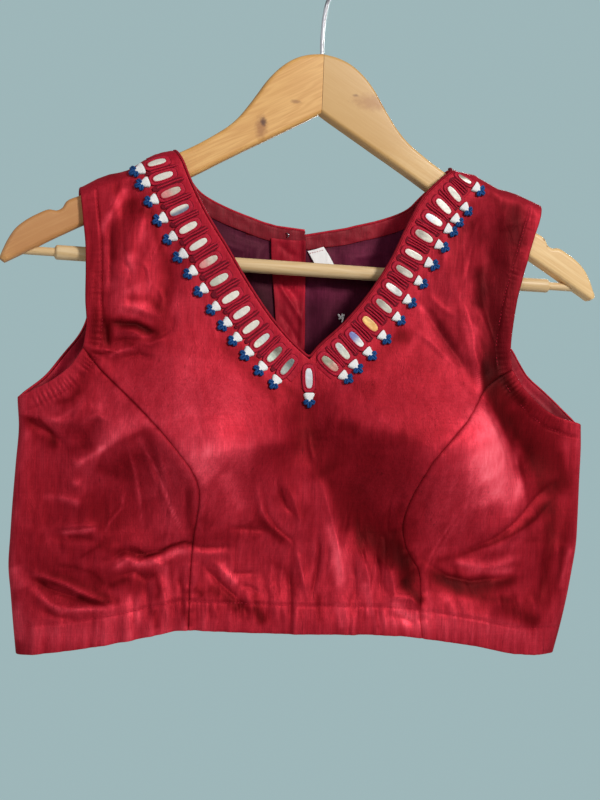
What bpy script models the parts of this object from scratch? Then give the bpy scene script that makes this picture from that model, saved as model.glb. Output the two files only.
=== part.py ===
"""Choli blouse on a wooden hanger.

Metres, +Z up. The origin is the seat of the hook, the front of the blouse faces -Y, and left and right are
the viewer's. Tables and constants are in millimetres; MM turns them into metres when a mesh is made.
"""

import math

import bmesh
import bpy
import numpy as np

for old in list(bpy.data.objects):
    bpy.data.objects.remove(old, do_unlink=True)

MM = 0.001

# Cloth
CLOTH = 1.4
FACING = 1.0
GAP = 0.3
LAYER_GAP = 0.6
LINING_GAP = 0.9
FIRST_LAYER = -CLOTH - LAYER_GAP
SECOND_LAYER = FIRST_LAYER - FACING - LAYER_GAP
SEAM_HALF = 0.25
FACING_WIDTH = 10.0
NECK_FACING_WIDTH = 11.5
HEM_WIDTH = 19.5
PLACKET_WIDTH = 26.0
PIPING_RADIUS = 1.0
CENTRE_X = -4.0

# How the blouse hangs: rounding at the side seams and over the hanger
SIDE_RADIUS = 5.0
SIDE_REACH = 130.0
CREST_RADIUS = 10.0
CREST_SLOPE = 0.91

# Mirror work
BORDER_START = 1.4
BORDER_END = 23.8
BORDER_THICK = 1.0
CELL_HALF = 5.8
CELL_TOP = -311.6
CELL_LOW = -334.0
MIRROR_THICK = 1.0
BORDER_LIFT = LAYER_GAP + BORDER_THICK
MIRROR_LIFT = BORDER_LIFT + LAYER_GAP + 0.1 + MIRROR_THICK

# Meshing: steps down from the shoulder line and in from the side seam, where the cloth turns, and rows
CAP_DROPS = (0.0, 1.4, 4.4, 8.2)
TURN_STEPS = (0.0, 1.6, 4.8, 9.0)
SIDE_TURNS = (0.0, 0.4, 1.5, 3.1, 5.5)
UPPER_ROWS = 11
LOWER_ROWS = 15

# Hanger
BOARD = 13.0
BOARD_ROUND = 3.4
BAR_Z = -242.5
BAR_RADIUS = 5.15
BAR_HALF = 186.0
TENON_RADIUS = 3.0
TENON_HALF = 213.0
BORE_CLEAR = 0.3
WIRE_RADIUS = 1.4
SHANK_END = -104.0

# Top of the shoulders: distance from the middle, height on the left, height on the right
CREST = (
    (60.0, -138.8, -142.0),
    (100.0, -159.0, -156.0),
    (220.0, -219.6, -198.0),
)

# Front neckline: height, x on the left, x on the right
NECKLINE = (
    (-150.0, -114.0, 107.0),
    (-163.0, -107.5, 99.5),
    (-184.0, -98.7, 79.8),
    (-208.0, -85.8, 65.6),
    (-233.0, -68.8, 52.8),
    (-259.0, -51.6, 37.4),
    (-283.0, -33.2, 18.6),
    (-300.0, -16.5, 2.6),
    (-309.3, -4.9, -4.9),
)

V_X = NECKLINE[-1][1]
V_Z = NECKLINE[-1][0]

# Back neckline: height, x on the left, x on the right
BACK_NECKLINE = (
    (-150.0, -112.0, 108.0),
    (-163.0, -105.5, 99.0),
    (-172.0, -99.5, 93.5),
    (-182.0, -91.3, 84.5),
    (-192.0, -81.4, 74.0),
    (-200.0, -64.0, 56.0),
    (-206.0, -45.0, 36.0),
    (-211.0, -24.0, 16.0),
    (-213.0, -4.0, -4.0),
)

# Armhole from the shoulder down to where the princess seam starts: height, x on the left, x on the right
ARMHOLE = (
    (-175.0, -173.0, 178.5),
    (-183.0, -172.5, 176.5),
    (-199.0, -171.5, 171.8),
    (-220.0, -168.8, 165.2),
    (-237.0, -166.6, 160.7),
    (-256.0, -165.7, 157.0),
    (-275.0, -165.2, 154.8),
    (-292.0, -163.8, 153.4),
    (-309.3, -165.5, 153.8),
)

# Rest of the front armhole, from the princess seam to the side seam: height and x, left and right
FRONT_SCYE = {
    -1: (
        (-165.5, -309.3),
        (-169.0, -315.0),
        (-174.3, -322.5),
        (-184.5, -331.5),
        (-197.0, -339.0),
        (-208.5, -345.0),
    ),
    1: (
        (153.8, -309.3),
        (158.5, -315.5),
        (164.0, -321.8),
        (172.0, -328.6),
        (183.0, -336.0),
        (197.0, -343.0),
        (218.5, -348.5),
    ),
}

# Back armhole, cut less deep than the front
BACK_SCYE = {
    -1: (
        (-164.6, -285.0),
        (-169.5, -301.2),
        (-179.7, -316.6),
        (-189.6, -329.4),
        (-202.0, -339.8),
        (-208.5, -345.0),
    ),
    1: (
        (154.0, -285.0),
        (164.5, -291.0),
        (172.7, -302.9),
        (179.8, -312.7),
        (190.7, -322.6),
        (204.0, -335.0),
        (218.5, -348.5),
    ),
}

# Side seams: height, x on the left, x on the right
SIDE = (
    (-150.0, -208.5, 218.5),
    (-345.0, -208.5, 218.5),
    (-365.0, -206.8, 219.3),
    (-390.0, -207.8, 219.0),
    (-420.0, -209.0, 218.8),
    (-440.0, -209.5, 218.3),
    (-462.0, -209.8, 215.2),
    (-480.0, -207.6, 212.2),
    (-500.0, -205.2, 208.0),
    (-523.0, -202.2, 202.2),
)

# Princess seams: height, x on the left, x on the right
PRINCESS = (
    (-309.3, -165.5, 153.8),
    (-322.1, -155.1, 128.5),
    (-334.0, -142.5, 119.0),
    (-350.0, -126.0, 110.0),
    (-365.4, -111.5, 99.0),
    (-380.4, -99.1, 87.0),
    (-391.5, -90.2, 80.5),
    (-403.0, -84.8, 73.5),
    (-420.0, -83.6, 65.5),
    (-440.0, -85.4, 62.4),
    (-460.0, -86.0, 62.6),
    (-480.0, -86.5, 63.8),
    (-510.0, -86.5, 66.5),
)

# Hem: x, height
HEM = (
    (-215.0, -521.0),
    (-201.0, -520.6),
    (-180.0, -518.9),
    (-152.0, -514.6),
    (-127.0, -509.5),
    (-110.0, -505.5),
    (-90.0, -503.0),
    (-74.0, -503.8),
    (-4.0, -505.6),
    (53.0, -505.2),
    (71.0, -506.2),
    (101.0, -509.8),
    (131.0, -514.2),
    (163.0, -520.0),
    (202.0, -522.4),
    (225.0, -522.6),
)

# How far each sheet of cloth stands from the middle plane of the hanger: height, front, back
SHEET = (
    (-100.0, 15.0, 15.0),
    (-230.0, 15.0, 15.0),
    (-300.0, 17.0, 15.0),
    (-350.0, 20.0, 17.0),
    (-420.0, 22.0, 19.0),
    (-480.0, 21.0, 19.0),
    (-530.0, 20.0, 18.0),
)

# Bust: middle x, middle z, reach to the side, to the centre, upwards and downwards, height
CUPS = (
    (-84.0, -378.0, 84.0, 90.0, 96.0, 74.0, 17.0),
    (70.0, -378.0, 90.0, 84.0, 96.0, 74.0, 17.0),
)

# Mirrors: distance from the neckline, then how far each one's middle is down it from the shoulder
MIRRORS = {
    -1: (
        15.6,
        (8.3, 18.0, 29.5, 42.2, 54.9, 68.0, 82.5, 97.2, 111.4, 124.5, 136.0, 147.4, 159.6, 171.0),
    ),
    1: (
        14.6,
        (7.5, 19.0, 32.5, 47.5, 62.0, 78.5, 92.5, 107.5, 121.5, 137.5, 152.0, 165.0, 178.0),
    ),
}

# Outline of a mirror from one end to the other: place along it, half its width there
MIRROR_OUTLINE = (
    (-7.2, 0.8),
    (-6.3, 1.9),
    (-4.6, 2.7),
    (0.0, 2.9),
    (4.6, 2.7),
    (6.3, 1.9),
    (7.2, 0.8),
)

# Size label, at its corners: x, z
LABEL = (((-1.6, -226.4), (10.6, -222.8)), ((7.4, -243.0), (20.6, -239.4)))

# Hanger arm, one row per cross section: x and z of its top, x and z of its underside
ARM = (
    (0.15, -84.5, 0.15, -128.5),
    (12.0, -86.5, 8.0, -133.2),
    (22.0, -90.5, 15.0, -137.2),
    (32.0, -98.0, 22.0, -141.2),
    (40.0, -107.0, 29.0, -145.2),
    (47.0, -117.5, 36.0, -149.2),
    (53.5, -127.0, 44.0, -153.8),
    (60.0, -135.5, 53.0, -158.8),
    (68.0, -143.5, 62.0, -164.0),
    (79.0, -151.5, 73.0, -170.4),
    (92.0, -159.8, 87.0, -178.8),
    (110.0, -169.6, 106.0, -189.2),
    (140.0, -184.8, 135.0, -204.6),
    (172.0, -202.2, 165.0, -220.6),
    (181.0, -207.0, 174.0, -225.4),
    (183.5, -211.5, 178.0, -227.6),
    (187.5, -213.8, 182.0, -229.8),
    (192.5, -213.4, 186.0, -232.0),
    (200.0, -216.8, 193.0, -236.0),
    (208.0, -221.8, 199.0, -239.6),
    (215.0, -228.2, 205.0, -243.0),
    (219.8, -236.0, 211.0, -246.4),
    (223.0, -243.5, 217.0, -249.8),
    (225.0, -249.0, 221.0, -252.0),
)

# Hook wire: x, z
HOOK = (
    (0.0, SHANK_END),
    (0.0, -84.0),
    (0.0, -70.0),
    (0.9, -56.0),
    (3.2, -44.0),
    (9.0, -34.5),
    (15.8, -27.5),
    (19.0, -17.6),
    (16.4, -8.0),
    (9.5, -1.2),
    (0.0, 1.4),
    (-9.5, -1.2),
    (-16.4, -8.0),
    (-19.0, -17.6),
    (-17.6, -25.0),
)

# Materials: base colour, roughness, metallic, sheen
MATERIALS = {
    "silk": ((0.42, 0.012, 0.028, 1.0), 0.42, 0.0, 0.5),
    "lining": ((0.075, 0.012, 0.028, 1.0), 0.45, 0.0, 0.2),
    "embroidery": ((0.30, 0.008, 0.018, 1.0), 0.7, 0.0, 0.6),
    "mirror": ((0.86, 0.84, 0.80, 1.0), 0.08, 1.0, 0.0),
    "label": ((0.85, 0.84, 0.82, 1.0), 0.6, 0.0, 0.0),
    "pine": ((0.62, 0.34, 0.13, 1.0), 0.38, 0.0, 0.0),
    "bar_wood": ((0.74, 0.52, 0.28, 1.0), 0.45, 0.0, 0.0),
    "chrome": ((0.70, 0.70, 0.72, 1.0), 0.12, 1.0, 0.0),
}


def material(key):
    """The named material, made once."""
    if key in bpy.data.materials:
        return bpy.data.materials[key]
    colour, roughness, metallic, sheen = MATERIALS[key]
    made = bpy.data.materials.new(key)
    made.use_nodes = True
    shader = made.node_tree.nodes["Principled BSDF"]
    shader.inputs["Base Color"].default_value = colour
    shader.inputs["Roughness"].default_value = roughness
    shader.inputs["Metallic"].default_value = metallic
    shader.inputs["Sheen Weight"].default_value = sheen
    return made


def hermite(stations, values, t):
    """Smooth curve through the values given at rising stations."""
    stations = np.asarray(stations, float)
    values = np.asarray(values, float)
    step = np.diff(stations)
    secant = np.diff(values, axis=0) / (step if values.ndim == 1 else step[:, None])
    slope = np.concatenate([secant[:1], (secant[1:] + secant[:-1]) / 2, secant[-1:]])
    t = min(max(t, stations[0]), stations[-1])
    k = min(int(np.searchsorted(stations, t, side="right")) - 1, len(step) - 1)
    h = step[k]
    q = (t - stations[k]) / h
    return (
        values[k] * (1 + 2 * q) * (1 - q) ** 2
        + slope[k] * h * q * (1 - q) ** 2
        + values[k + 1] * q * q * (3 - 2 * q)
        + slope[k + 1] * h * q * q * (q - 1)
    )


def across(table, z, side):
    """x of an edge at a height, on the left (-1) or the right (1)."""
    rows = table[::-1]
    column = 1 if side < 0 else 2
    return float(hermite([r[0] for r in rows], [r[column] for r in rows], z))


def crest(x):
    """Height of the shoulder line at x."""
    column = 1 if x < 0 else 2
    return float(np.interp(abs(x), [r[0] for r in CREST], [r[column] for r in CREST]))


def hem(x):
    """Height of the hem at x."""
    return float(hermite([r[0] for r in HEM], [r[1] for r in HEM], x))


def run(points, count, start=0.0, end=1.0):
    """Points at equal steps of length along a smooth line through the given ones."""
    points = np.asarray(points, float)
    step = np.linalg.norm(np.diff(points, axis=0), axis=1)
    length = np.concatenate([[0.0], np.cumsum(step)])
    return [hermite(length, points, length[-1] * t) for t in np.linspace(start, end, count)]


def level_of(line, x):
    """Height at which a line passes x."""
    for a, b in zip(line, line[1:]):
        if (a[0] - x) * (b[0] - x) <= 0 and a[0] != b[0]:
            return float(a[1] + (b[1] - a[1]) * (x - a[0]) / (b[0] - a[0]))
    return float(line[-1][1])


def cap(q):
    """Quarter circle: 0 at the rim, 1 from one radius in."""
    q = min(max(q, 0.0), 1.0)
    return math.sqrt(q * (2.0 - q))


def depth(x, z, front):
    """Distance of the outer side of the cloth from the middle plane."""
    from_side = min(x - across(SIDE, z, -1), across(SIDE, z, 1) - x)
    heights = [r[0] for r in SHEET[::-1]]
    sheet = float(hermite(heights, [r[1 if front else 2] for r in SHEET[::-1]], z))
    reach = min(max(from_side / SIDE_REACH, 0.0), 1.0)
    out = SIDE_RADIUS * cap(from_side / SIDE_RADIUS) + (sheet - SIDE_RADIUS) * reach * (2.0 - reach)
    if front:
        for cx, cz, to_side, to_centre, up, down, height in CUPS:
            wide = to_side if (x - cx) * cx > 0 else to_centre
            tall = up if z > cz else down
            q = ((x - cx) / wide) ** 2 + ((z - cz) / tall) ** 2
            if q < 1.0:
                out += height * (0.5 + 0.5 * math.cos(math.pi * math.sqrt(q)))
    return out * cap((crest(x) - z) * CREST_SLOPE / CREST_RADIUS)


def outward(x, z, front):
    """Unit normal of the cloth, pointing out of the blouse."""
    e = 0.02
    away = -1.0 if front else 1.0
    side = -1 if x < 0 else 1
    if (across(SIDE, z, side) - x) * side < e and z < -340.0:
        slope = (across(SIDE, z + 1.0, side) - across(SIDE, z - 1.0, side)) / 2.0
        normal = np.array([side, 0.0, -side * slope])
    elif crest(x) - z < e:
        normal = np.array([-(crest(x + 1.0) - crest(x - 1.0)) / 2.0, 0.0, 1.0])
    else:
        along_x = (depth(x + e, z, front) - depth(x - e, z, front)) / (2 * e)
        along_z = (depth(x, z + e, front) - depth(x, z - e, front)) / (2 * e)
        normal = np.array([-along_x, away, -along_z])
    return normal / np.linalg.norm(normal)


def on_form(x, z, front, lift):
    """The point of the form over (x, z), moved out by lift."""
    away = -1.0 if front else 1.0
    point = np.array([x, away * (depth(x, z, front) + GAP / 2), z])
    return point + outward(x, z, front) * lift


def add_object(name, vertices, faces, key):
    """A closed mesh object, its faces turned outwards."""
    mesh = bpy.data.meshes.new(name)
    mesh.from_pydata([tuple(float(c) * MM for c in v) for v in vertices], [], faces)
    mesh.validate()
    made = bpy.data.objects.new(name, mesh)
    bpy.context.scene.collection.objects.link(made)
    mesh.materials.append(material(key))
    face_out(mesh)
    mesh.shade_smooth()
    mesh.set_sharp_from_angle(angle=math.radians(40.0))
    return made


def face_out(mesh):
    """Turns every face so that the mesh encloses a positive volume."""
    work = bmesh.new()
    work.from_mesh(mesh)
    bmesh.ops.recalc_face_normals(work, faces=work.faces)
    if work.calc_volume(signed=True) < 0:
        bmesh.ops.reverse_faces(work, faces=work.faces)
    work.to_mesh(mesh)
    work.free()


def sheet_solid(name, grids, front, lift, thick, key):
    """A wall of cloth over one or more grids of (x, z) points that share their common points."""
    index = {}
    flat = []
    quads = []
    for grid in grids:
        ids = []
        for row in grid:
            line = []
            for x, z in row:
                spot = (round(float(x), 4), round(float(z), 4))
                if spot not in index:
                    index[spot] = len(flat)
                    flat.append(spot)
                line.append(index[spot])
            ids.append(line)
        for a, b in zip(ids, ids[1:]):
            for k in range(len(a) - 1):
                quad = [a[k], a[k + 1], b[k + 1], b[k]]
                corners = [flat[i] for i in quad]
                area = sum(p[0] * q[1] - q[0] * p[1] for p, q in zip(corners, corners[1:] + corners[:1]))
                quads.append(quad if area > 0 else quad[::-1])
    n = len(flat)
    vertices = [on_form(x, z, front, lift) for x, z in flat]
    vertices += [on_form(x, z, front, lift - thick) for x, z in flat]
    edges = {(q[k], q[(k + 1) % 4]) for q in quads for k in range(4)}
    faces = [tuple(q) for q in quads]
    faces += [tuple(i + n for i in reversed(q)) for q in quads]
    faces += [(b, a, a + n, b + n) for a, b in edges if (b, a) not in edges]
    return add_object(name, vertices, faces, key)


def coons(top, bottom, inner, outer, shares):
    """Grid of (x, z) points between four edges. Rows run from inner to outer; shares say where each row is."""
    rows = []
    top = np.asarray(top)
    bottom = np.asarray(bottom)
    columns = len(top)
    spread = np.linalg.norm(np.diff(bottom, axis=0), axis=1)
    us = np.concatenate([[0.0], np.cumsum(spread)]) / spread.sum()
    for k, v in enumerate(shares):
        row = []
        for j in range(columns):
            u = us[j]
            point = (
                (1 - v) * top[j]
                + v * bottom[j]
                + (1 - u) * np.asarray(inner[k])
                + u * np.asarray(outer[k])
                - (1 - v) * ((1 - u) * top[0] + u * top[-1])
                - v * ((1 - u) * bottom[0] + u * bottom[-1])
            )
            row.append(point)
        rows.append(row)
    return rows


def meet(table, side):
    """Where an edge of the neck or the armhole reaches the shoulder line."""
    low = table[1][0] - 60.0
    high = table[0][0]
    for _ in range(50):
        z = (low + high) / 2
        if z < crest(across(table, z, side)):
            low = z
        else:
            high = z
    return low


def tube(name, path, radius, sides, key):
    """A round bar along a path, with flat ends. The path lies in a plane, or nearly."""
    path = [np.asarray(p, float) for p in path]
    vertices = []
    faces = []
    for k, point in enumerate(path):
        ahead = path[min(k + 1, len(path) - 1)] - point
        behind = point - path[max(k - 1, 0)]
        pieces = [v / np.linalg.norm(v) for v in (ahead, behind) if np.linalg.norm(v) > 0]
        tangent = sum(pieces)
        tangent = tangent / np.linalg.norm(tangent)
        stretch = 1.0 / max(float(np.dot(tangent, pieces[0])), 0.5)
        level = np.cross(tangent, [0.0, 1.0, 0.0])
        level = level / np.linalg.norm(level)
        deep = np.cross(level, tangent)
        for s in range(sides):
            angle = 2 * math.pi * (s + 0.5) / sides
            vertices.append(point + radius * (stretch * math.cos(angle) * level + math.sin(angle) * deep))
    for k in range(len(path) - 1):
        for s in range(sides):
            a = k * sides + s
            b = k * sides + (s + 1) % sides
            faces.append((a, b, b + sides, a + sides))
    faces.append(tuple(range(sides)))
    faces.append(tuple(range(len(vertices) - sides, len(vertices)))[::-1])
    return add_object(name, vertices, faces, key)


def cylinder(name, start, end, radius, sides=24):
    """A hidden round cutter."""
    made = tube(name, [start, end], radius, sides, "pine")
    made.hide_render = True
    made.display_type = "WIRE"
    return made


def cut(body, cutter):
    """Cuts the cutter out of the body."""
    boolean = body.modifiers.new(cutter.name, "BOOLEAN")
    boolean.operation = "DIFFERENCE"
    boolean.solver = "EXACT"
    boolean.object = cutter


# --- Hanger -------------------------------------------------------------------------------------------------


def arm(name, side):
    """One flat board: a rounded rectangle swept through the rows of ARM."""
    section = []
    for cx, cy, start in ((1, 1, 0), (-1, 1, 90), (-1, -1, 180), (1, -1, 270)):
        for step in (0, 30, 60, 90):
            angle = math.radians(start + step)
            section.append((cx, cy, math.cos(angle), math.sin(angle)))
    vertices = []
    for tx, tz, bx, bz in ARM:
        top = np.array([tx * side, 0.0, tz])
        low = np.array([bx * side, 0.0, bz])
        middle = (top + low) / 2
        half = np.linalg.norm(top - low) / 2
        up = (top - low) / (2 * half)
        bend = min(BOARD_ROUND, half * 0.8)
        for cx, cy, c, s in section:
            y = cy * (BOARD / 2 - bend) + bend * s
            along = cx * (half - bend) + bend * c
            vertices.append(middle + up * along + np.array([0.0, y, 0.0]))
    n = len(section)
    faces = []
    for k in range(len(ARM) - 1):
        for s in range(n):
            a = k * n + s
            b = k * n + (s + 1) % n
            faces.append((a, b, b + n, a + n))
    faces.append(tuple(range(n)))
    faces.append(tuple(range(len(vertices) - n, len(vertices)))[::-1])
    return add_object(name, vertices, faces, "pine")


arms = {-1: arm("hanger_arm_left", -1), 1: arm("hanger_arm_right", 1)}
shank_hole = cylinder(
    "shank_hole",
    (0.0, 0.0, -70.0),
    (0.0, 0.0, SHANK_END - BORE_CLEAR),
    WIRE_RADIUS + BORE_CLEAR,
)
for side, board in arms.items():
    tenon_hole = cylinder(
        "tenon_hole_" + ("left" if side < 0 else "right"),
        (side * 190.0, 0.0, BAR_Z),
        (side * (TENON_HALF + BORE_CLEAR), 0.0, BAR_Z),
        TENON_RADIUS + BORE_CLEAR,
    )
    cut(board, tenon_hole)
    cut(board, shank_hole)

bar_profile = (
    (-TENON_HALF, TENON_RADIUS),
    (-BAR_HALF - 1.5, TENON_RADIUS),
    (-BAR_HALF, BAR_RADIUS),
    (BAR_HALF, BAR_RADIUS),
    (BAR_HALF + 1.5, TENON_RADIUS),
    (TENON_HALF, TENON_RADIUS),
)
bar_points = []
bar_faces = []
for x, radius in bar_profile:
    for k in range(24):
        angle = 2 * math.pi * k / 24
        bar_points.append((x, radius * math.cos(angle), BAR_Z + radius * math.sin(angle)))
for k in range(len(bar_profile) - 1):
    for s in range(24):
        a = k * 24 + s
        b = k * 24 + (s + 1) % 24
        bar_faces.append((a, b, b + 24, a + 24))
bar_faces.append(tuple(range(24)))
bar_faces.append(tuple(range(len(bar_points) - 24, len(bar_points)))[::-1])
add_object("trouser_bar", bar_points, bar_faces, "bar_wood")

hook_line = run([(x, z) for x, z in HOOK], 64)
tube("hook", [(x, 0.0, z) for x, z in hook_line], WIRE_RADIUS, 12, "chrome")

# --- Blouse: cut pieces -------------------------------------------------------------------------------------


def drops(total, count):
    """Steps down from the shoulder line: close together where the cloth turns over the hanger."""
    rest = np.linspace(CAP_DROPS[-1], total, count + 1)[1:]
    return list(CAP_DROPS) + list(rest)


def front_half(side, columns=10):
    """Grid of one half of the front centre panel, with its strap."""
    neck_top = meet(NECKLINE, side)
    arm_top = meet(ARMHOLE, side)
    inner = []
    outer = []
    for down in drops(neck_top - V_Z, UPPER_ROWS):
        z = neck_top - down
        inner.append((across(NECKLINE, z, side), z))
    for down in drops(arm_top - V_Z, UPPER_ROWS):
        z = arm_top - down
        outer.append((across(ARMHOLE, z, side), z))
    for k in range(1, LOWER_ROWS + 1):
        share = k / LOWER_ROWS
        seam_low = hem(across(PRINCESS, -503.0, side))
        z = V_Z + (seam_low - V_Z) * share
        inner.append((V_X, V_Z + (hem(V_X) - V_Z) * share))
        outer.append((across(PRINCESS, z, side) - side * SEAM_HALF, z))
    upper = len(CAP_DROPS) + UPPER_ROWS
    shares = [0.5 * k / (upper - 1) for k in range(upper)]
    shares += [0.5 + 0.5 * k / LOWER_ROWS for k in range(1, LOWER_ROWS + 1)]
    top_x = np.linspace(inner[0][0], outer[0][0], columns + 1)
    low_x = np.linspace(inner[-1][0], outer[-1][0], columns + 1)
    top = [(x, crest(x)) for x in top_x]
    bottom = [(x, hem(x)) for x in low_x]
    top[0] = inner[0]
    top[-1] = outer[0]
    bottom[0] = inner[-1]
    bottom[-1] = outer[-1]
    return coons(top, bottom, inner, outer, shares)


def side_distances(width, columns):
    """Columns of a panel as shares of its width: close together where the cloth turns at the side seam."""
    rest = np.linspace(SIDE_TURNS[-1] ** 0.6, width**0.6, columns + 1)[1:] ** (1 / 0.6)
    return [1.0 - d / width for d in SIDE_TURNS + tuple(rest)][::-1]


def along_polyline(points, shares):
    """Points at shares of the length of a smooth line."""
    points = np.asarray(points, float)
    step = np.linalg.norm(np.diff(points, axis=0), axis=1)
    length = np.concatenate([[0.0], np.cumsum(step)])
    return [hermite(length, points, length[-1] * t) for t in shares]


def front_side(side):
    """Grid of a front side panel, between the princess seam and the side seam."""
    scye = FRONT_SCYE[side]
    start = (scye[0][0] + side * SEAM_HALF, scye[0][1])
    top_line = (start,) + scye[1:]
    side_top = scye[-1][1]
    seam_low = hem(across(PRINCESS, -503.0, side))
    side_low = hem(across(SIDE, -521.0, side))
    shares = [k / LOWER_ROWS for k in range(LOWER_ROWS + 1)]
    inner = []
    outer = []
    for share in shares:
        z = V_Z + (seam_low - V_Z) * share
        inner.append((across(PRINCESS, z, side) + side * SEAM_HALF, z))
        z = side_top + (side_low - side_top) * share
        outer.append((across(SIDE, z, side), z))
    inner[0] = start
    columns = side_distances(120.0, 6)
    top = along_polyline(top_line, columns)
    xs = [inner[-1][0] + (outer[-1][0] - inner[-1][0]) * u for u in columns]
    bottom = [(x, hem(x)) for x in xs]
    bottom[0] = inner[-1]
    bottom[-1] = outer[-1]
    return coons(top, bottom, inner, outer, shares)


def back_edges(side):
    """Inner and outer edge of a back half, row by row."""
    neck_top = meet(BACK_NECKLINE, side)
    arm_top = meet(ARMHOLE, side)
    neck_low = BACK_NECKLINE[-1][0]
    centre = CENTRE_X + side * SEAM_HALF
    inner = []
    for down in drops(neck_top - neck_low, 5):
        z = neck_top - down
        x = across(BACK_NECKLINE, z, side)
        inner.append((x if (x - centre) * side > 0 else centre, z))
    inner[-1] = (centre, neck_low)
    scye_top = BACK_SCYE[side][0][1]
    outer = []
    for down in drops(arm_top - scye_top, 5):
        z = arm_top - down
        outer.append((across(ARMHOLE, z, side), z))
    outer[-1] = BACK_SCYE[side][0]
    scye = run(BACK_SCYE[side], 40)
    reach = abs(scye[-1][0])
    below = run([p for p in scye if abs(p[0]) < reach - 8.0], 5)[1:]
    for turn in SIDE_TURNS[::-1]:
        x = scye[-1][0] - side * turn
        below.append((x, level_of(scye, x)))
    side_top = BACK_SCYE[side][-1][1]
    side_low = hem(across(SIDE, -521.0, side))
    down_side = []
    for k in range(1, 11):
        z = side_top + (side_low - side_top) * k / 10
        down_side.append((across(SIDE, z, side), z))
    outer += [tuple(p) for p in below] + down_side
    rest = len(outer) - len(inner)
    low = hem(centre)
    for k in range(1, rest + 1):
        inner.append((centre, neck_low + (low - neck_low) * k / rest))
    return inner, outer


def back_half(side):
    """Grid of one half of the back."""
    inner, outer = back_edges(side)
    count = len(inner)
    shares = [k / (count - 1) for k in range(count)]
    columns = side_distances(200.0, 7)
    top_x = [inner[0][0] + (outer[0][0] - inner[0][0]) * u for u in columns]
    top = [(x, crest(x)) for x in top_x]
    low_x = [inner[-1][0] + (outer[-1][0] - inner[-1][0]) * u for u in columns]
    bottom = [(x, hem(x)) for x in low_x]
    top[0] = inner[0]
    top[-1] = outer[0]
    bottom[0] = inner[-1]
    bottom[-1] = outer[-1]
    return coons(top, bottom, inner, outer, shares)


NAMES = {-1: "left", 1: "right"}
sheet_solid("front_centre", [front_half(-1), front_half(1)], True, 0.0, CLOTH, "silk")
for side in (-1, 1):
    sheet_solid("front_side_" + NAMES[side], [front_side(side)], True, 0.0, CLOTH, "silk")
    sheet_solid("back_" + NAMES[side], [back_half(side)], False, 0.0, CLOTH, "silk")


# --- Blouse: facings, lining, hem and placket, on the inside ------------------------------------------------


def offset(edge, inward, distance):
    """The edge moved sideways in the plane of the front."""
    edge = [np.asarray(p, float) for p in edge]
    moved = []
    for k, point in enumerate(edge):
        tangent = edge[min(k + 1, len(edge) - 1)] - edge[max(k - 1, 0)]
        tangent = tangent / np.linalg.norm(tangent)
        moved.append(point + np.array([-tangent[1], tangent[0]]) * inward * distance)
    return moved


def neck_line(table, side, count=22):
    """Points down a neckline from the shoulder to its middle."""
    top = meet(table, side)
    return run([(across(table, z, side), z) for z in np.linspace(top, table[-1][0], 30)], count)


def scye_line(side, front):
    """Points down an armhole from the shoulder to the side seam."""
    low = FRONT_SCYE[side] if front else BACK_SCYE[side]
    top = meet(ARMHOLE, side)
    upper = [(across(ARMHOLE, z, side), z) for z in np.linspace(top, low[0][1], 10)]
    return [np.asarray(p, float) for p in list(upper[:-1]) + list(low)]


def to_crest(x):
    """A point of the shoulder line."""
    return (x, crest(x))


def shoulder_rows(rows):
    """Adds rows where a band turns over the hanger, and lays its first row along the shoulder line."""
    first = [to_crest(p[0]) for p in rows[0]]
    turned = [first]
    for down in CAP_DROPS[1:]:
        turned.append([(x, z - down) for x, z in first])
    kept = [row for row in rows if all(z < crest(x) - CAP_DROPS[-1] - 2.5 for x, z in row)]
    return turned + kept


def band(edge, side, near, far, steps=2):
    """Rows of a band along an edge of one side, between two distances from it."""
    lines = [offset(edge, side, near + (far - near) * k / steps) for k in range(steps + 1)]
    return [list(row) for row in zip(*lines)]


def armhole_facing(side, front):
    """Grid of the band inside an armhole edge, ending on the side seam."""
    edge = scye_line(side, front)
    rows = shoulder_rows(band(edge, -side, 0.0, FACING_WIDTH, 1))
    reach = abs(edge[-1][0])
    rows = [row for row in rows if abs(row[0][0]) < reach - 8.0]
    for turn in SIDE_TURNS[::-1]:
        row = []
        for down in (0.0, FACING_WIDTH):
            x = edge[-1][0] - side * turn
            z = level_of(edge, x) - down
            row.append((across(SIDE, z, side) - side * turn, z))
        rows.append(row)
    return rows


def neck_facing(side):
    """Grid of the band inside the back neck."""
    edge = neck_line(BACK_NECKLINE, side, 15)
    rows = shoulder_rows(band(edge, side, 0.0, NECK_FACING_WIDTH, 1))
    limit = CENTRE_X - PLACKET_WIDTH - GAP if side < 0 else CENTRE_X + SEAM_HALF
    rows = [row for row in rows if all((p[0] - limit) * side > 1.5 for p in row)]
    z = BACK_NECKLINE[-1][0] if side > 0 else level_of(edge, limit)
    rows.append([(limit, z), (limit, z - NECK_FACING_WIDTH)])
    return rows


def side_at_hem(side, rise):
    """x of the side seam at a height above the hem."""
    x = side * 205.0
    for _ in range(6):
        x = across(SIDE, hem(x) + rise, side)
    return x


def lining_columns(side):
    """Columns of the lining as shares of its width; the hem under it has the same ones."""
    return side_distances(180.0, 3)


def hem_band(left, right, columns):
    """Grid of the turned-up hem between two x; None stands for a side seam. Columns are shares of its width."""
    rows = []
    for rise in (0.0, HEM_WIDTH):
        start = side_at_hem(-1, rise) if left is None else left
        end = side_at_hem(1, rise) if right is None else right
        rows.append([(x, hem(x) + rise) for x in (start + (end - start) * u for u in columns)])
    return rows


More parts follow.
